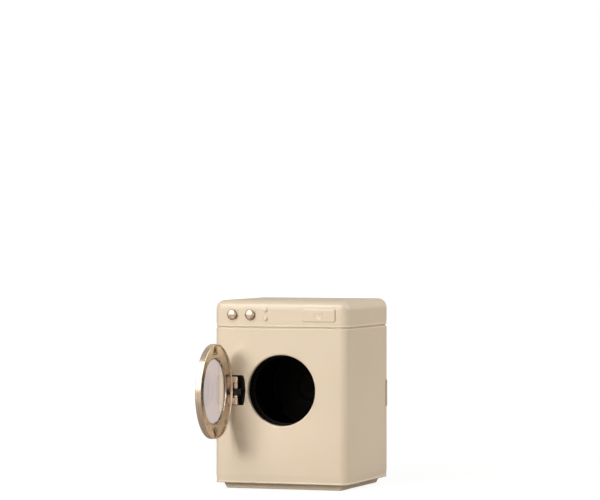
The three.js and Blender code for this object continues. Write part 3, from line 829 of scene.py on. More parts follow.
def cutOpenings(sheet):
    t = tinSheet["thickness"]
    over = bench["overrun"]
    window = extrudedSolid(windowOutline(), cabinetFront - over, cabinetFront + t + over)
    x = cabinetWidth / 2 - tinSheet["cornerRadius"] - wrap["rearFlange"]
    rear = rectangle(-x, x, wrap["rearLow"], wrap["rearHigh"], wrap["rearCorner"])
    opening = extrudedSolid(rear, cabinetRear - t - over, cabinetRear + over)
    hole = bmesh.new()
    bmesh.ops.create_circle(
        hole,
        cap_ends=True,
        radius=wrap["mouthRadius"] + wrap["rollOuter"],
        segments=wrap["rollSteps"],
        matrix=Matrix.Translation((0, 0, -over)),
    )
    drawOut(hole, list(hole.faces), (0, 0, 2 * over))
    standUp(hole, hole.verts, mouthPlace.x, cabinetFront, mouthPlace.z)
    return reshaped(sheet, [window, opening, hole])


def rollMouth(bm):  # the wall inside the round hole gives way to the rolled edge
    holeRadius = wrap["mouthRadius"] + wrap["rollOuter"]
    inHole = []
    for face in bm.faces:
        reaches = [math.hypot(v.co.x - mouthPlace.x, v.co.z - mouthPlace.z) for v in face.verts]
        onRim = max(abs(reach - holeRadius) for reach in reaches) < bench["hair"]
        alongHole = abs(face.normal.y) < bench["upright"]
        if onRim and alongHole and face.calc_center_median().y < 0:
            inHole.append(face)
    bmesh.ops.delete(bm, geom=inHole, context="FACES_ONLY")
    mouth = wrap["mouthRadius"]
    bend = cabinetFront + wrap["rollOuter"]
    back = cabinetFront + wrap["rollDepth"]
    roll = arc(holeRadius, bend, wrap["rollOuter"], 270, 180, wrap["rollArcSteps"])
    roll += [(mouth, back - wrap["rollLip"]), (mouth + wrap["rollLip"], back)]
    roll += [(mouth + tinSheet["thickness"], back)]
    roll += arc(holeRadius, bend, wrap["rollInner"], 180, 270)
    verts = [bm.verts.new((mouthPlace.x + reach, y, mouthPlace.z)) for reach, y in roll]
    edges = [bm.edges.new(pair) for pair in zip(verts, verts[1:])]
    spinRound(bm, verts + edges, mouthPlace.x, mouthPlace.z, wrap["rollSteps"])
    bmesh.ops.remove_doubles(bm, verts=bm.verts, dist=2 * bench["weld"])


def easeRims(bm):  # of the hinge window and the rear opening
    rims = []
    for edge in bm.edges:
        if len(edge.link_faces) != 2 or edge.calc_face_angle() < bench["sharpFold"]:
            continue
        middle = (edge.verts[0].co + edge.verts[1].co) / 2
        onFront = all(abs(v.co.y - cabinetFront) < bench["hair"] for v in edge.verts)
        onRear = all(abs(v.co.y - cabinetRear) < bench["hair"] for v in edge.verts)
        beside = middle.x < hingePlace.x + wrap["rimReach"]
        level = abs(middle.z - mouthPlace.z) < wrap["rimHeight"]
        if (onFront and beside and level) or onRear:
            rims.append(edge)
    ease(bm, rims, wrap["rimEdge"], bench["edgeSteps"])


def makeWrap():
    bm = cutOpenings(stackedCabinet(wrapLevels(), closed=True))
    rollMouth(bm)
    easeRims(bm)
    finishPiece(bm, "tinWrap", enamel, "cabinet", ["cabinet_shell"])


makeWrap()


# Lid with rounded top edges, and the control panel pressed into its front
lid = {
    "edgeRadius": 6.0,
    "edgeSteps": 16,
    "insideSteps": 5,
    "lift": 0.3,
    "rim": 0.4,
    "flare": 0.16,
    "flareRise": 0.9,
    "flareEnd": 4.0,
    "flareSteps": 5,
    "shaftHole": 1.4,
    "shaftSteps": 40,
}

# How a pressing leaves the sheet: a firm foot, then a soft crown
pressing = {
    "start": 0.10,  # under the sheet's face, as the foot is
    "foot": 0.012,
    "fullness": 2.2,
    "steps": 9,
    "tuck": 0.3,  # how deep turned pressings go into the sheet
    "seat": 0.01,
}

drawer = {
    "fromRight": 8.2,
    "width": 23.4,
    "height": 8.9,
    "corner": 1.7,
    "tighteningShare": 0.5,
    "sharpest": 0.4,
    "cornerSteps": 8,
    "rise": 0.75,
    "slope": 1.15,
    "lean": (0.3, -0.4, 0.0),
    "tuck": (0.35, -0.4),  # (inset, height) of its end inside the sheet
}
drawerMiddle = cabinetWidth / 2 - drawer["fromRight"] - drawer["width"] / 2

pull = {
    "width": 6.9,
    "height": 4.1,
    "drop": 0.5,
    "depth": 0.68,
    "edge": 0.02,
    "mouth": [(1.12, 1.0), (1.03, 0.04)],  # (share of the outline, height over the drawer's face)
    "narrowingShare": 0.42,
    "topShare": 0.10,
    "topFlare": 2.0,
    "arcSteps": 24,
    "steps": 8,
}

knobRing = {"radius": 4.05, "width": 0.8, "rise": 0.2, "crownSteps": 6, "steps": 72}

pilotLamp = {
    "fromLeft": 36.1,
    "lift": 0.35,
    "spacing": 5.7,
    "radius": 1.3,
    "rise": 0.8,
    "domeStart": 6,
    "domeSteps": 8,
    "moundRadius": 1.8,
    "moundRise": 0.4,
    "moundSlope": 0.4,
    "moundSteps": 6,
    "steps": 48,
}


def topFillet(inset, height, steps):  # levels that close in over a rounded edge
    levels = []
    radius = lid["edgeRadius"] - inset
    for i in range(steps + 1):
        angle = math.radians(90 * i / steps)
        closing = inset + radius * (1 - math.cos(angle))
        levels.append((closing, height - radius + radius * math.sin(angle), closing))
    return levels


def lidLevels():
    t = tinSheet["thickness"]
    top = capHigh.z
    rim = lid["rim"]
    low = capLow.z + lid["lift"]
    widest = (lid["flare"], low + rim + lid["flareRise"])
    inner = topFillet(t, top - t, lid["insideSteps"])[::-1] + plain([(t, low)])
    outer = arc(rim, low + rim, rim, 270, 180)
    outer += easedStep((0, low + rim), widest, lid["flareSteps"])[1:]
    outer += easedStep(widest, (0, low + rim + lid["flareEnd"]), lid["flareSteps"])[1:]
    return inner + plain(outer) + topFillet(0, top, lid["edgeSteps"])


def pressedLevels(slope, rise, steps):  # (inset, rise) along an embossing's edge
    foot = -pressing["foot"]
    levels = [(0.0, -pressing["start"]), (0.0, foot)]
    for i in range(1, steps + 1):
        t = i / steps
        levels.append((slope * t, foot + (rise - foot) * (1 - (1 - t) ** pressing["fullness"])))
    return levels


def pullHollow():  # a U-shaped plug: steep under its flat top, a gentle scoop towards its foot
    half = pull["width"] / 2
    height = pull["height"]
    edge = pull["edge"]
    outline = [(half, 0), (half, half - height)]
    outline += arc(0, half - height, half, 0, -180, pull["arcSteps"])[1:] + [(-half, 0)]
    levels = pull["mouth"] + [(1.0, -edge)]
    for i in range(1, pull["steps"] + 1):
        t = i / pull["steps"]
        drop = (pull["depth"] - edge) * math.sin(math.radians(90 * t))
        levels.append((1.0 - pull["narrowingShare"] * t, -edge - drop))
    bm = bmesh.new()
    loops = []
    for i, (share, lift) in enumerate(levels):
        knownEdges = set(bm.edges)
        # The flat top stays almost put, so the wall under it is steep
        top = -pull["topShare"] * (1 - share) * height if share < 1 else (share - 1) * pull["topFlare"]
        verts = [bm.verts.new((x * share, top + z * share, drawer["rise"] + lift)) for x, z in outline]
        face = bm.faces.new(verts)
        if i not in (0, len(levels) - 1):
            bmesh.ops.delete(bm, geom=[face], context="FACES_ONLY")
        loops.append(newest(bm.edges, knownEdges))
    bridgeUp(bm, loops)
    standUp(bm, bm.verts, drawerMiddle, cabinetFront, controlLine + height / 2 - pull["drop"])
    return bm


def embossedDrawer():
    bm = bmesh.new()
    loops = []
    levels = [drawer["tuck"]] + pressedLevels(drawer["slope"], drawer["rise"], pressing["steps"])
    for i, (inset, rise) in enumerate(levels):
        corner = max(drawer["corner"] - drawer["tighteningShare"] * inset, drawer["sharpest"])
        width = drawer["width"] - 2 * inset
        height = drawer["height"] - 2 * inset
        atEnd = i in (0, len(levels) - 1)
        loop = roundedLoop(bm, width, height, corner, rise, drawer["cornerSteps"], atEnd)
        # The crown sits low and to the right, so the slopes above and at the left are the longer ones
        lean = Vector(drawer["lean"]) * (inset / drawer["slope"] if i else 0)
        bmesh.ops.translate(bm, vec=lean, verts=list({vert for edge in loop for vert in edge.verts}))
        loops.append(loop)
    bridgeUp(bm, loops)
    standUp(bm, bm.verts, drawerMiddle, cabinetFront, controlLine)
    return reshaped(bm, [pullHollow()])


def lowRing(spot):  # round a knob
    half = knobRing["width"] / 2
    radius = knobRing["radius"]
    steps = knobRing["crownSteps"]
    crown = [(radius + half, cabinetFront + pressing["tuck"])]
    for i in range(2 * steps + 1):
        across = 1 - i / steps
        up = 0.5 + 0.5 * math.cos(math.pi * across)
        crown.append((radius + half * across, cabinetFront + pressing["seat"] - up * knobRing["rise"]))
    crown.append((radius - half, cabinetFront + pressing["tuck"]))
    return turnedSolid(crown, spot.x, spot.z, knobRing["steps"])


def embossedLamp(side):
    foot = pilotLamp["moundRadius"]
    mound = pilotLamp["moundRise"]
    tucked = cabinetFront + pressing["tuck"]
    crown = [(0, tucked), (foot, tucked), (foot, cabinetFront + pressing["seat"])]
    for inset, lift in pressedLevels(pilotLamp["moundSlope"], mound, pilotLamp["moundSteps"])[2:]:
        crown.append((foot - inset, cabinetFront - lift))
    for across, up in arc(0, 0, 1, pilotLamp["domeStart"], 90, pilotLamp["domeSteps"]):
        crown.append((pilotLamp["radius"] * across, cabinetFront - mound - pilotLamp["rise"] * up))
    crown[-1] = (0, cabinetFront - mound - pilotLamp["rise"])
    x = -cabinetWidth / 2 + pilotLamp["fromLeft"]
    z = controlLine + pilotLamp["lift"] + side * pilotLamp["spacing"] / 2
    return turnedSolid(crown, x, z, pilotLamp["steps"])


def makeLid():
    front = cabinetFront - bench["overrun"]
    back = cabinetFront + bench["overrun"]
    holes = [plug(lid["shaftHole"], front, back, spot.x, spot.z, lid["shaftSteps"]) for spot in knobSpots]
    body = reshaped(stackedCabinet(lidLevels()), holes)
    details = [embossedDrawer()]
    details += [lowRing(spot) for spot in knobSpots]
    details += [embossedLamp(side) for side in (1, -1)]
    whole = merged(body, *details)
    finishPiece(whole, "tinLid", enamel, "cabinet", ["top_cap"], clean=False)


makeLid()


# Floor pan, whose lower part is the set-back plinth
pan = {
    "inset": 5.0,
    "taper": 1.4,
    "edge": 0.6,
    "edgeEnd": 190,
    "bendInset": 0.1,
    "bendDrop": 0.3,
    "rimInset": 1.5,
    "rimEdge": 0.2,
    "flange": 5.1,
    "rim": 4.0,
    # A shallow pressed field stiffens the floor: (inwards from the foot, up), under and over the sheet
    "fieldUnder": [(12.0, 0.6), (9.5, 0.6), (8.6, 0.45), (7.6, 0.08), (6.8, 0.0)],
    "fieldOver": [(9.0, 0.0), (10.0, 0.6), (12.0, 0.6)],
}


def makePan():
    t = tinSheet["thickness"]
    inset = pan["inset"]
    foot = inset + pan["taper"]
    edge = pan["edge"]
    flange = pan["flange"]
    rim = pan["rimInset"]
    rimTop = flange + pan["rim"]
    height = shellLow.z
    levels = [(foot + inwards, up) for inwards, up in pan["fieldUnder"]]
    levels += arc(foot + edge, edge, edge, 270, pan["edgeEnd"])
    levels += [(inset + pan["bendInset"], height - pan["bendDrop"]), (inset, height), (inset, flange)]
    levels += [(rim + pan["rimEdge"], flange), (rim, flange + pan["rimEdge"]), (rim, rimTop)]
    levels += [(rim + t, rimTop), (rim + t, flange + t), (inset + t, flange + t), (inset + t, height)]
    levels += [(foot + t, t + edge), (foot + t + edge, t)]
    levels += [(foot + inwards, t + up) for inwards, up in pan["fieldOver"]]
    bm = stackedCabinet(plain(levels))
    finishPiece(bm, "plinthPan", enamel, "cabinet", ["plinth_tray"])


makePan()


# Back cover: a flat rim inside the cabinet and a raised, pressed field in the opening
cover = {
    "lap": 4.0,
    "gap": 0.3,
    "edge": 0.6,
    "dipInset": 6.0,
    "dipWidth": 1.6,
    "dip": 0.45,
    "dipCorner": 3.5,
    "cornerSteps": 8,
}


def makeCover():
    t = tinSheet["thickness"]
    low, high = nodeBox("rear_panel")
    base = low.y
    face = high.y
    width = high.x - low.x
    height = high.z - low.z
    lap = cover["lap"] + cover["gap"]
    edge = cover["edge"]
    corner = wrap["rearCorner"] - cover["gap"]

    def fieldRow(inset, rowCorner, y):
        return (width - 2 * lap - 2 * inset, height - 2 * lap - 2 * inset, rowCorner, y)

    # (width, height, corner, y) from the inner sheet's middle outwards and back over the raised field
    rows = [
        fieldRow(t, corner - t, face - t),
        fieldRow(t, corner - t, base),
        (width, height, wrap["rearCorner"], base),
        (width, height, wrap["rearCorner"], base + t),
        fieldRow(0, corner, base + t),
    ]
    for inset, drop in arc(edge, edge, edge, 180, 270):
        rows.append(fieldRow(inset, max(corner - inset, edge), face - drop))
    for depth, across in easedStep((0.0, 0.0), (cover["dip"], cover["dipWidth"])):
        rows.append(fieldRow(cover["dipInset"] + across, cover["dipCorner"], face - depth))
    bm = bmesh.new()
    loops = []
    for i, (w, h, rowCorner, y) in enumerate(rows):
        loops.append(roundedLoop(bm, w, h, rowCorner, -y, cover["cornerSteps"], i in (0, len(rows) - 1)))
    bridgeUp(bm, loops)
    standUp(bm, bm.verts, (low.x + high.x) / 2, 0, (low.z + high.z) / 2)
    finishPiece(bm, "backCover", enamel, "cabinet", ["rear_panel"])


makeCover()


# Straps that wrap the rear corners and hold the back cover
strap = {
    "thickness": 0.4,
    "gap": 0.15,
    "reach": 1.2,
    "hold": 4.0,
    "bendSteps": 12,
    "edge": 0.15,
    "edgeSteps": 2,
}


def makeStrap(hand, name, node):
    low, high = nodeBox(node)
    corner = tinSheet["cornerRadius"]
    x = cabinetWidth / 2 - corner
    y = cabinetRear - corner
    near = corner + strap["gap"]
    far = near + strap["thickness"]
    end = x - wrap["rearFlange"] - strap["hold"]
    start = y - strap["reach"]
    outline = [(x + near, start)] + arc(x, y, near, 0, 90, strap["bendSteps"])
    outline += [(end, y + near), (end, y + far)]
    outline += arc(x, y, far, 90, 0, strap["bendSteps"]) + [(x + far, start)]
    bm = bmesh.new()
    face = bm.faces.new([bm.verts.new((hand * px, py, low.z)) for px, py in outline])
    drawOut(bm, [face], (0, 0, high.z - low.z))
    bmesh.ops.recalc_face_normals(bm, faces=bm.faces)
    edges = [e for e in bm.edges if e.calc_face_angle(0) > bench["sharpFold"]]
    ease(bm, edges, strap["edge"], strap["edgeSteps"])
    finishPiece(bm, name, enamel, "cabinet", [node])


makeStrap(1, "rearStrapRight", "rear_clip_right")
makeStrap(-1, "rearStrapLeft", "rear_clip_left")
print("cabinet dressed")


# Black moulding behind the front: plate, mouth collar, hinge pocket, fixed knuckle and screw posts
mould = {
    "plateGap": 0.3,
    "plateThickness": 1.6,
    "plateCorner": 6.0,
    "cutSteps": 128,
    "rollRoom": 25.2,
    "collarRadius": 23.6,
    "collarWall": 1.4,
    "collarFront": 3.3,
    "collarLap": 0.1,
    "collarSteps": 144,
    "shoulder": 3.0,
    "fineEdge": 0.1,
    "edge": 0.2,
    "lipEdge": 0.35,
    "wall": 1.2,
    "pocketDepth": 4.8,
    "pocketRoom": 0.05,
    "pocketLap": 0.05,
    "mouthRoom": 0.2,
    "armReach": 3.5,
    "armSink": 0.3,
    "armEdge": 0.3,
    "armLap": 0.05,
    "armBoreSteps": 32,
    "postCircle": 35.5,
    "postAngles": (45, 135, 225, 315),
    "postRadius": 2.8,
    "postBore": 1.1,
    "postSink": 0.5,
    "postFlare": 0.4,
    "postWaist": 0.1,
    "postWaistRise": 3.0,
    "postEdge": 0.3,
    "postSteps": 36,
}
frameLow, frameHigh = nodeBox("front_frame")
plateFront = cabinetFront + tinSheet["thickness"] + mould["plateGap"]
pocketBack = cabinetFront + tinSheet["thickness"] + mould["pocketDepth"]


def pocketHollow(grow=0.0):
    return extrudedSolid(windowOutline(grow), plateFront - bench["overrun"], pocketBack)


def framePlate():
    back = plateFront + mould["plateThickness"]
    outline = rectangle(frameLow.x, frameHigh.x, frameLow.z, frameHigh.z, mould["plateCorner"])
    plate = extrudedSolid(outline, plateFront, back)
    over = bench["overrun"]
    mouth = plug(
        mould["rollRoom"], plateFront - over, back + over, mouthPlace.x, mouthPlace.z, mould["cutSteps"]
    )
    return reshaped(plate, [mouth, pocketHollow(mould["pocketRoom"])])


def frameCollar():
    room = mould["rollRoom"]
    inner = mould["collarRadius"]
    outer = room + mould["shoulder"]
    wall = mould["collarWall"]
    front = cabinetFront + mould["collarFront"]
    foot = plateFront + mould["collarLap"]
    back = frameHigh.y
    corners = [
        (room, foot, mould["fineEdge"]),
        (room, front, mould["edge"]),
        (inner, front, mould["lipEdge"]),
        (inner, back, mould["edge"]),
        (inner + wall, back, mould["edge"]),
        (inner + wall, front + wall, mould["fineEdge"]),
        (outer, front + wall, mould["edge"]),
        (outer, foot, mould["fineEdge"]),
    ]
    collar = turnedSolid(corners, mouthPlace.x, mouthPlace.z, mould["collarSteps"])
    return reshaped(collar, [pocketHollow(mould["pocketRoom"])])


def framePocket():
    back = pocketBack + mould["wall"]
    over = bench["overrun"]
    radius = mould["collarRadius"] + mould["mouthRoom"]
    tray = extrudedSolid(windowOutline(mould["wall"]), plateFront + mould["pocketLap"], back)
    mouth = plug(radius, plateFront - over, back + over, mouthPlace.x, mouthPlace.z, mould["cutSteps"])
    return reshaped(tray, [pocketHollow(), mouth])


def frameArm():  # carries the fixed knuckle
    lap = mould["armLap"]
    over = bench["overrun"]
    arm = easedBox(
        (hingePlace.x, cabinetFront + lap, centreLow + lap),
        (hingePlace.x + mould["armReach"], pocketBack + mould["armSink"], centreHigh - lap),
        mould["armEdge"],
    )
    bore = hingeBar(pinBore, centreLow - over, centreHigh + over, mould["armBoreSteps"], hinge["boreEdge"])
    return reshaped(arm, [bore])


def screwPosts():
    bore = mould["postBore"]
    radius = mould["postRadius"]
    foot = plateFront + mould["postSink"]
    back = frameHigh.y
    corners = [
        (bore, foot),
        (radius + mould["postFlare"], foot),
        (radius + mould["postWaist"], plateFront + mould["postWaistRise"]),
        (radius, back, mould["postEdge"]),
        (bore, back, mould["edge"]),
    ]
    posts = []
    for degrees in mould["postAngles"]:
        x = mouthPlace.x + mould["postCircle"] * math.cos(math.radians(degrees))
        z = mouthPlace.z + mould["postCircle"] * math.sin(math.radians(degrees))
        posts.append(turnedSolid(corners, x, z, mould["postSteps"]))
    return posts


def makeMoulding():
    knuckle = hingeBarrel(centreLow, centreHigh, mould["edge"], mould["fineEdge"])
    whole = merged(framePlate(), frameCollar(), framePocket(), frameArm(), knuckle, *screwPosts())
    finishPiece(whole, "blackFrame", moulding, "cabinet", ["front_frame"], clean=False)


makeMoulding()


# Drum: a cup with an inward lip and three ridges that lift the washing
cup = {
    "radius": 28.4,
    "wall": 1.2,
    "lip": 22.0,
    "lipEdge": 0.55,
    "frontEdge": 0.5,
    "backEdge": 1.0,
    "footEdge": 1.6,
    "hub": 1.8,
    "hubEdge": 0.2,
    "bossReach": 8.0,
    "bossRim": 7.0,
    "bossRise": 0.5,
    "bossEdge": 0.4,
    "steps": 120,
    "lifters": 3,
    "lifterStart": 90,
    "lifterRadius": 3.2,
    "lifterLap": 0.2,
    "lifterSink": 0.1,
    "lifterSkin": 0.6,
    "lifterSteps": 32,
}


def drumShell(front, back):
    wall = cup["wall"]
    inner = cup["radius"] - wall
    floor = back - wall
    corners = [
        (cup["hub"], back, cup["hubEdge"]),
        (cup["radius"], back, cup["backEdge"]),
        (cup["radius"], front, cup["frontEdge"]),
        (cup["lip"], front, cup["lipEdge"]),
        (cup["lip"], front + wall, cup["lipEdge"]),
        (inner, front + wall, cup["frontEdge"]),
        (inner, floor, cup["footEdge"]),
        (cup["hub"] + cup["bossReach"], floor, cup["bossEdge"]),
        (cup["hub"] + cup["bossRim"], floor - cup["bossRise"], cup["bossEdge"]),
        (cup["hub"], floor - cup["bossRise"], cup["hubEdge"]),
    ]
    return turnedSolid(corners, mouthPlace.x, mouthPlace.z, cup["steps"])


def drumLifter(degrees, front, back):  # a round ridge, kept within the cup's wall
    wall = cup["wall"]
    lap = cup["lifterLap"]
    reach = cup["radius"] - wall - cup["lifterSink"]
    x = mouthPlace.x + reach * math.cos(math.radians(degrees))
    z = mouthPlace.z + reach * math.sin(math.radians(degrees))
    ridge = plug(cup["lifterRadius"], front + wall - lap, back - wall + lap, x, z, cup["lifterSteps"])
    limit = plug(cup["radius"] - cup["lifterSkin"], front, back, mouthPlace.x, mouthPlace.z, cup["steps"])
    return reshaped(ridge, [limit], "INTERSECT")


def makeCup():
    low, high = nodeBox("drum")
    parts = [drumShell(low.y, high.y)]
    for i in range(cup["lifters"]):
        parts.append(drumLifter(cup["lifterStart"] + 360 * i / cup["lifters"], low.y, high.y))
    whole = merged(*parts)
    finishPiece(whole, "drumCup", drumBlack, "drum_assembly", ["drum"], clean=False)


makeCup()
print("mouth and drum dressed")


# Door ring, drawn closed about the hinge and stored open
ring = {
    "radius": 31.0,
    "window": 21.6,
    "reach": 0.7,
    "lift": 0.5,
    "standoff": 1.75,
    "thickness": 4.2,
    "wall": 1.0,
    "gap": 0.3,
    "joint": 0.03,
    "lip": 0.9,
    "lipSlope": 0.3,
    "lipEdge": 0.15,
    "dishStart": 0.9,
    "dish": 1.5,
    "dishEdge": 0.25,
    "rise": 1.1,
    "flare": 0.9,
    "crownWidth": 0.9,
    "crownEdge": 0.4,
    "rim": 0.6,
    "backRim": 0.4,
    "jointEdge": 0.05,
    "windowEdge": 0.35,
    "seatEdge": 0.08,
    "frontLipEdge": 0.1,
    "leafReach": 1.7,
    "leafThickness": 0.9,
    "leafEdge": 0.2,
    "webEdge": 0.15,
    "webShare": 0.8,
    "webDepthShare": 0.5,
    "leafRoom": 0.02,
    "steps": 168,
    "crease": 28,
}
glass = {
    "depth": 2.9,  # from the ring's back to the pane's seat
    "thickness": 0.8,
    "seat": 1.2,
    "room": 0.3,
    "rise": 0.8,
    "slope": 0.25,
    "crownEdge": 0.2,
    "footEdge": 0.1,
    "rimEdge": 0.15,
    "steps": 96,
}
ringX = hingePlace.x + ring["radius"] + ring["reach"]
ringZ = mouthPlace.z + ring["lift"]
ringBack = hingePlace.y - ring["standoff"]
ringFront = ringBack - ring["thickness"]
parting = (ringBack + ringFront) / 2
paneBack = ringBack - glass["depth"]
paneFront = paneBack - glass["thickness"]
dishEdge = ring["radius"] - ring["lip"]
dishFoot = dishEdge - ring["lipSlope"]


def knuckleRoot(low, high):  # the leaf and the web that join one knuckle to the ring
    radius = hinge["knuckleRadius"]
    half = ring["leafThickness"] / 2
    side = radius * ring["webShare"]
    low, high = low + ring["leafRoom"], high - ring["leafRoom"]
    leaf = easedBox(
        (hingePlace.x - side, ringBack - half, low),
        (hingePlace.x + ring["leafReach"], ringBack + half, high),
        ring["leafEdge"],
    )
    web = easedBox(
        (hingePlace.x - side, ringBack, low),
        (hingePlace.x + side, hingePlace.y - radius * ring["webDepthShare"], high),
        ring["webEdge"],
    )
    return [leaf, web]


def makeRingBack():
    wall = ring["wall"]
    window = ring["window"]
    joint = parting + ring["joint"]
    seat = paneBack + ring["gap"]
    corners = [
        (ring["radius"], joint, ring["jointEdge"]),
        (ring["radius"], ringBack, ring["backRim"]),
        (dishEdge, ringBack, ring["lipEdge"]),
        (dishFoot, ringBack - ring["dishStart"], ring["dishEdge"]),
        (window, ringBack - ring["dish"], ring["windowEdge"]),
        (window, seat, ring["seatEdge"]),
        (window + wall, seat),
        (ring["radius"] - wall, joint),
    ]
    parts = [turnedSolid(corners, ringX, ringZ, ring["steps"])]
    spans = [
        (barrelLow, barrelLow + hinge["lowerKnuckle"] - ring["gap"]),
        (barrelHigh - hinge["upperKnuckle"] + ring["gap"], barrelHigh),
    ]
    for low, high in spans:
        parts += [hingeBarrel(low, high)] + knuckleRoot(low, high)
    finishPiece(
        merged(*parts),
        "ringBack",
        ringPlating,
        "door",
        ["door_back_bezel"],
        crease=ring["crease"],
        clean=False,
        swing=True,
    )


def makeRingFront():
    wall = ring["wall"]
    window = ring["window"]
    outside = ring["radius"]
    joint = parting - ring["joint"]
    crown = ringFront - ring["rise"]
    pocket = window + glass["seat"] + ring["gap"]
    lipBack = paneFront - ring["gap"]
    corners = [
        (outside - wall, joint),
        (outside - wall, ringFront + wall),
        (pocket + wall, lipBack),
        (pocket + wall, paneBack),
        (pocket, paneBack),
        (pocket, lipBack),
        (window, lipBack, ring["frontLipEdge"]),
        (window + ring["flare"], crown, ring["dishEdge"]),
        (window + ring["flare"] + ring["crownWidth"], crown, ring["crownEdge"]),
        (outside, ringFront, ring["rim"]),
        (outside, joint, ring["jointEdge"]),
    ]
    finishPiece(
        turnedSolid(corners, ringX, ringZ, ring["steps"]),
        "ringFront",
        ringPlating,
        "door",
        ["door_front_bezel"],
        crease=ring["crease"],
        swing=True,
    )


def makePane():  # a moulded disc whose middle fills the ring's opening on both sides
    seated = ring["window"] + glass["seat"]
    middle = ring["window"] - glass["room"]
    crown = middle - glass["slope"]
    front = paneFront - glass["rise"]
    back = paneBack + glass["rise"]
    corners = [
        (0, front),
        (crown, front, glass["crownEdge"]),
        (middle, paneFront, glass["footEdge"]),
        (seated, paneFront, glass["rimEdge"]),
        (seated, paneBack, glass["rimEdge"]),
        (middle, paneBack, glass["footEdge"]),
        (crown, back, glass["crownEdge"]),
        (0, back),
    ]
    body = turnedSolid(corners, ringX, ringZ, glass["steps"])
    finishPiece(body, "windowPane", pane, "door", ["door_window"], swing=True)


makeRingBack()
makeRingFront()
makePane()


# A-shaped clips that lie on the dished back of the ring, at its top and its foot
clip = {
    "length": 6.0,
    "spread": 5.2,
    "leg": 1.1,
    "legEdge": 0.2,
    "crotchEdge": 0.15,
    "tip": 1.2,
    "tipEdge": 0.3,
    "bar": 3.4,
    "barEdge": 0.1,
    "sheet": 0.5,
    "lap": 0.02,
    "toothWidth": 1.6,
    "toothReach": 1.8,
    "toothLap": 0.2,
    "room": 0.35,
    "edge": 0.12,
    "edgeSteps": 2,
}


def clipShape():
    top = clip["length"] / 2
    spread = clip["spread"] / 2
    tip = clip["tip"] / 2
    leg = clip["leg"]
    near = ring["gap"]
    far = near + clip["sheet"]
    outline = [
        (-tip, top, clip["tipEdge"]),
        (-spread, -top, clip["legEdge"]),
        (-spread + leg, -top, clip["legEdge"]),
        (0, top - clip["tip"] - leg, clip["crotchEdge"]),
        (spread - leg, -top, clip["legEdge"]),
        (spread, -top, clip["legEdge"]),
        (tip, top, clip["tipEdge"]),
    ]
    legs = extrudedSolid(outline, near, far)
    middle = top - clip["bar"]
    low = middle - leg / 2
    high = middle + leg / 2
    reach = spread * clip["bar"] / clip["length"]
    lap = clip["lap"]
    bar = easedBox((-reach, near + lap, low), (reach, far - lap, high), clip["barEdge"])
    half = clip["toothWidth"] / 2
    hooked = near + clip["toothLap"]
    tooth = easedBox((-half, -clip["toothReach"], low), (half, hooked, high), clip["barEdge"])
    whole = merged(legs, bar, tooth)
    folds = [e for e in whole.edges if len(e.link_faces) == 2 and e.calc_face_angle(0) > bench["sharpFold"]]
    ease(whole, folds, clip["edge"], clip["edgeSteps"])
    return whole


def makeClip(atFoot, name, node):
    slope = (ring["dish"] - ring["dishStart"]) / (dishFoot - ring["window"])
    reach = dishFoot - clip["room"] - clip["length"] / 2
    surface = ringBack - ring["dishStart"] - (dishFoot - reach) * slope
    bm = clipShape()
    turnAbout(bm, bm.verts, -math.atan(slope), "X")
    bmesh.ops.translate(bm, vec=(0, surface, reach), verts=bm.verts)
    if atFoot:
        turnAbout(bm, bm.verts, math.pi, "Y")
    bmesh.ops.translate(bm, vec=(ringX, 0, ringZ), verts=bm.verts)
    finishPiece(bm, name, clipMetal, "door", [node], clean=False, swing=True)


makeClip(False, "ringClipTop", "door_clip_top")
makeClip(True, "ringClipFoot", "door_clip_bottom")


# Hinge pin and the sleeves between the knuckles
def makeHinge():
    rod = hingeBar(hinge["pinRadius"], barrelLow, barrelHigh, hinge["pinSteps"], hinge["pinEdge"])
    finishPiece(rod, "hingeRod", steel, "door", ["hinge_pin"], swing=True)
    upper = hingeBarrel(centreHigh + ring["gap"], barrelHigh - hinge["upperKnuckle"])
    finishPiece(upper, "sleeveUpper", barrelPlating, "door", ["hinge_sleeve_top"], swing=True)
    lower = hingeBarrel(barrelLow + hinge["lowerKnuckle"], centreLow - ring["gap"])
    finishPiece(lower, "sleeveLower", barrelPlating, "door", ["hinge_sleeve_bottom"], swing=True)


makeHinge()
print("door dressed")


# Knobs: domed plated heads on short shafts
dial = {
    "radius": 3.3,
    "height": 2.3,
    "footEdge": 0.25,
    "skirt": 0.95,
    "fullness": 0.9,
    "crownSteps": 18,
    "gap": 0.3,
    "shaft": 1.1,
    "shaftBack": 4.2,
    "steps": 72,
}


def makeDial(spot, material, name, body, node):
    base = cabinetFront - dial["gap"]
    back = cabinetFront + dial["shaftBack"]
    radius = dial["radius"]
    foot = dial["footEdge"]
    dome = dial["height"] - dial["skirt"]
    profile = [(0, back), (dial["shaft"], back), (dial["shaft"], base)]
    profile += [(radius - foot, base), (radius, base - foot)]
    for across, up in arc(0, 0, 1, 0, 90, dial["crownSteps"]):
        across, up = across ** dial["fullness"], up ** dial["fullness"]
        profile.append((radius * across, base - dial["skirt"] - up * dome))
    profile[-1] = (0, base - dial["height"])
    bm = turnedSolid(profile, spot.x, spot.z, dial["steps"])
    finishPiece(bm, name, material, body, [node])


makeDial(knobSpots[0], knobPlatings[0], "dialLeft", "left_knob", "knob_left")
makeDial(knobSpots[1], knobPlatings[1], "dialRight", "right_knob", "knob_right")
print("knobs dressed")


# Nodes whose shape is right keep their mesh and get their finish
def dressNode(node, material):
    holder = frame["nodes"][node]
    holder.data.materials.clear()
    holder.data.materials.append(material)


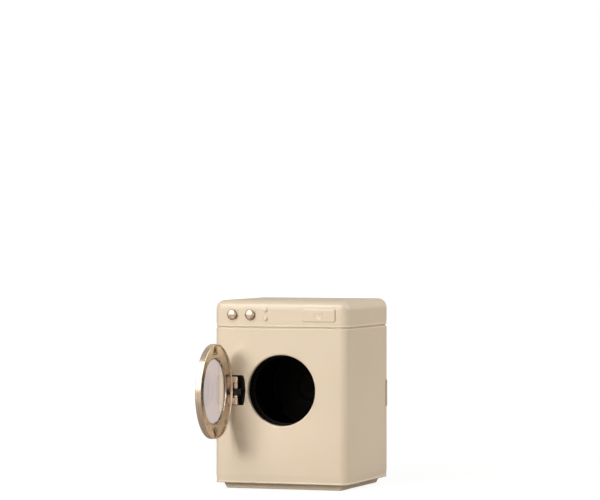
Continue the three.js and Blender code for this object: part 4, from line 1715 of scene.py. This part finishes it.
dressNode("drum_tub", drumBlack)
dressNode("drum_axle", blackened)
dressNode("drum_bearing", bronze)
dressNode("drum_axle_clip", steel)
for node in ["tub_screw_1", "tub_screw_2", "tub_screw_3", "tub_screw_4"]:
    dressNode(node, steel)
for node in ["knob_left_washer", "knob_left_nut", "knob_right_washer", "knob_right_nut"]:
    dressNode(node, steel)
print("small fittings dressed")


# Studio: pale floor, white surroundings and soft lamps, in metres and watts
studio = {
    "floorSize": 12.0,
    "floorDrop": 0.0002,
    "floorColour": (0.45, 0.40, 0.36),
    "floorDeeper": 0.985,
    "floorRoughness": 0.8,
    "floorScales": (3.0, 12.0, 300.0),
    "floorWhite": 0.80,
    "floorLift": 1.1,
    "whiteFrom": 0.22,
    "whiteBy": 0.95,
    "surround": (1.0, 0.95, 0.90),
    "ambient": 0.28,
    "backdrop": (0.66, 0.585, 0.555),
    "ceiling": (0.48, 0.45, 0.43),
    "ceilingFrom": 0.45,
    "ceilingBy": 0.85,
    "lampColour": (1.0, 1.0, 1.0),
    "fillColour": (1.0, 0.99, 0.98),
    "lamps": [
        # name, place, aimed at, width, height, power, lights surfaces, shows in gloss
        ("keySoftbox", (-0.18, -0.735, 0.279), (0.0, -0.04, 0.06), 0.18, 0.18, 2.65, True, False),
        ("broadSoftbox", (-0.20, -0.62, 0.56), (0.0, -0.04, 0.08), 0.36, 0.95, 2.15, True, False),
        ("fillPanel", (1.23, 0.57, 0.70), (0.0, 0.0, 0.06), 1.0, 1.0, 12.2, True, True),
        ("whiteWall", (-0.35, -0.87, 0.66), (0.0, -0.04, 0.08), 1.2, 1.15, 7.6, False, True),
        ("highPanel", (-0.265, -0.47, 0.70), (0.0, -0.04, 0.10), 0.45, 0.31, 2.1, False, True),
        ("rightStrip", (0.80, -0.65, 0.16), (0.04, -0.04, 0.11), 0.12, 0.5, 0.8, False, True),
    ],
}


def blendShaders(tree, share, first, second):
    node = tree.nodes.new("ShaderNodeMixShader")
    tree.links.new(share, node.inputs["Fac"])
    tree.links.new(first.outputs[0], node.inputs[1])
    tree.links.new(second.outputs[0], node.inputs[2])
    return node


def floorMaterial():
    material, tree, shader = newMaterial("paleFloor", {"Roughness": studio["floorRoughness"]})
    life = placeLife(tree, {"scales": studio["floorScales"]})
    pale = studio["floorColour"]
    deeper = tuple(c * studio["floorDeeper"] for c in pale)
    tree.links.new(addMix(tree, life.outputs["Tone"], pale, deeper), shader.inputs["Base Color"])
    # The camera sees a floor that fades to white, with the machine's shadow on it
    shadowed = tree.nodes.new("ShaderNodeBsdfDiffuse")
    shadowed.inputs["Color"].default_value = (1, 1, 1, 1)
    white = tree.nodes.new("ShaderNodeEmission")
    white.inputs["Strength"].default_value = studio["floorLift"]
    reach = addVectorMath(tree, "LENGTH", ownPlace(tree)).outputs["Value"]
    share = addRange(tree, reach, studio["whiteFrom"], studio["whiteBy"], studio["floorWhite"])
    seen = blendShaders(tree, share, shadowed, white)
    # Through the pane it has the backdrop's tone, and other rays meet the floor itself
    tone = tree.nodes.new("ShaderNodeEmission")
    tone.inputs["Color"].default_value = studio["backdrop"] + (1,)
    rays = tree.nodes.new("ShaderNodeLightPath")
    through = blendShaders(tree, rays.outputs["Is Transmission Ray"], shader, tone)
    choose = blendShaders(tree, rays.outputs["Is Camera Ray"], through, seen)
    tree.links.new(choose.outputs[0], tree.nodes["Material Output"].inputs["Surface"])
    return material


def makeFloor():
    bm = bmesh.new()
    bmesh.ops.create_grid(bm, x_segments=1, y_segments=1, size=studio["floorSize"] / 2)
    mesh = bpy.data.meshes.new("floor")
    bm.to_mesh(mesh)
    bm.free()
    floor = bpy.data.objects.new("floor", mesh)
    floor.location = (0, 0, -studio["floorDrop"])
    bpy.context.scene.collection.objects.link(floor)
    floor.data.materials.append(floorMaterial())


def makeWorld():
    world = bpy.data.worlds.new("studioAir")
    bpy.context.scene.world = world
    world.use_nodes = True
    tree = world.node_tree
    light = tree.nodes["Background"]
    light.inputs["Color"].default_value = studio["surround"] + (1,)
    light.inputs["Strength"].default_value = studio["ambient"]
    seen = tree.nodes.new("ShaderNodeBackground")
    rays = tree.nodes.new("ShaderNodeLightPath")
    split = tree.nodes.new("ShaderNodeSeparateXYZ")
    tree.links.new(ownPlace(tree), split.inputs[0])
    height = addRange(tree, split.outputs["Z"], studio["ceilingFrom"], studio["ceilingBy"])
    around = addMix(tree, height, studio["backdrop"], studio["ceiling"])
    colour = addMix(tree, rays.outputs["Is Camera Ray"], around, (1.0, 1.0, 1.0))
    tree.links.new(colour, seen.inputs["Color"])
    either = addMath(tree, "MAXIMUM", rays.outputs["Is Camera Ray"], rays.outputs["Is Glossy Ray"])
    either = addMath(tree, "MAXIMUM", either, rays.outputs["Is Transmission Ray"])
    choose = blendShaders(tree, either, light, seen)
    tree.links.new(choose.outputs[0], tree.nodes["World Output"].inputs["Surface"])


def makeLamps():
    for name, place, aim, width, height, power, lights, inGloss in studio["lamps"]:
        data = bpy.data.lights.new(name, "AREA")
        data.shape = "RECTANGLE"
        data.size = width
        data.size_y = height
        data.energy = power
        data.color = studio["fillColour"] if name == "fillPanel" else studio["lampColour"]
        lamp = bpy.data.objects.new(name, data)
        lamp.location = place
        away = Vector(place) - Vector(aim)
        lamp.rotation_euler = away.to_track_quat("Z", "Y").to_euler()
        lamp.visible_diffuse = lights
        lamp.visible_glossy = inGloss
        bpy.context.scene.collection.objects.link(lamp)


makeFloor()
makeWorld()
makeLamps()
bpy.context.scene.view_settings.view_transform = "Standard"
print("studio lit")
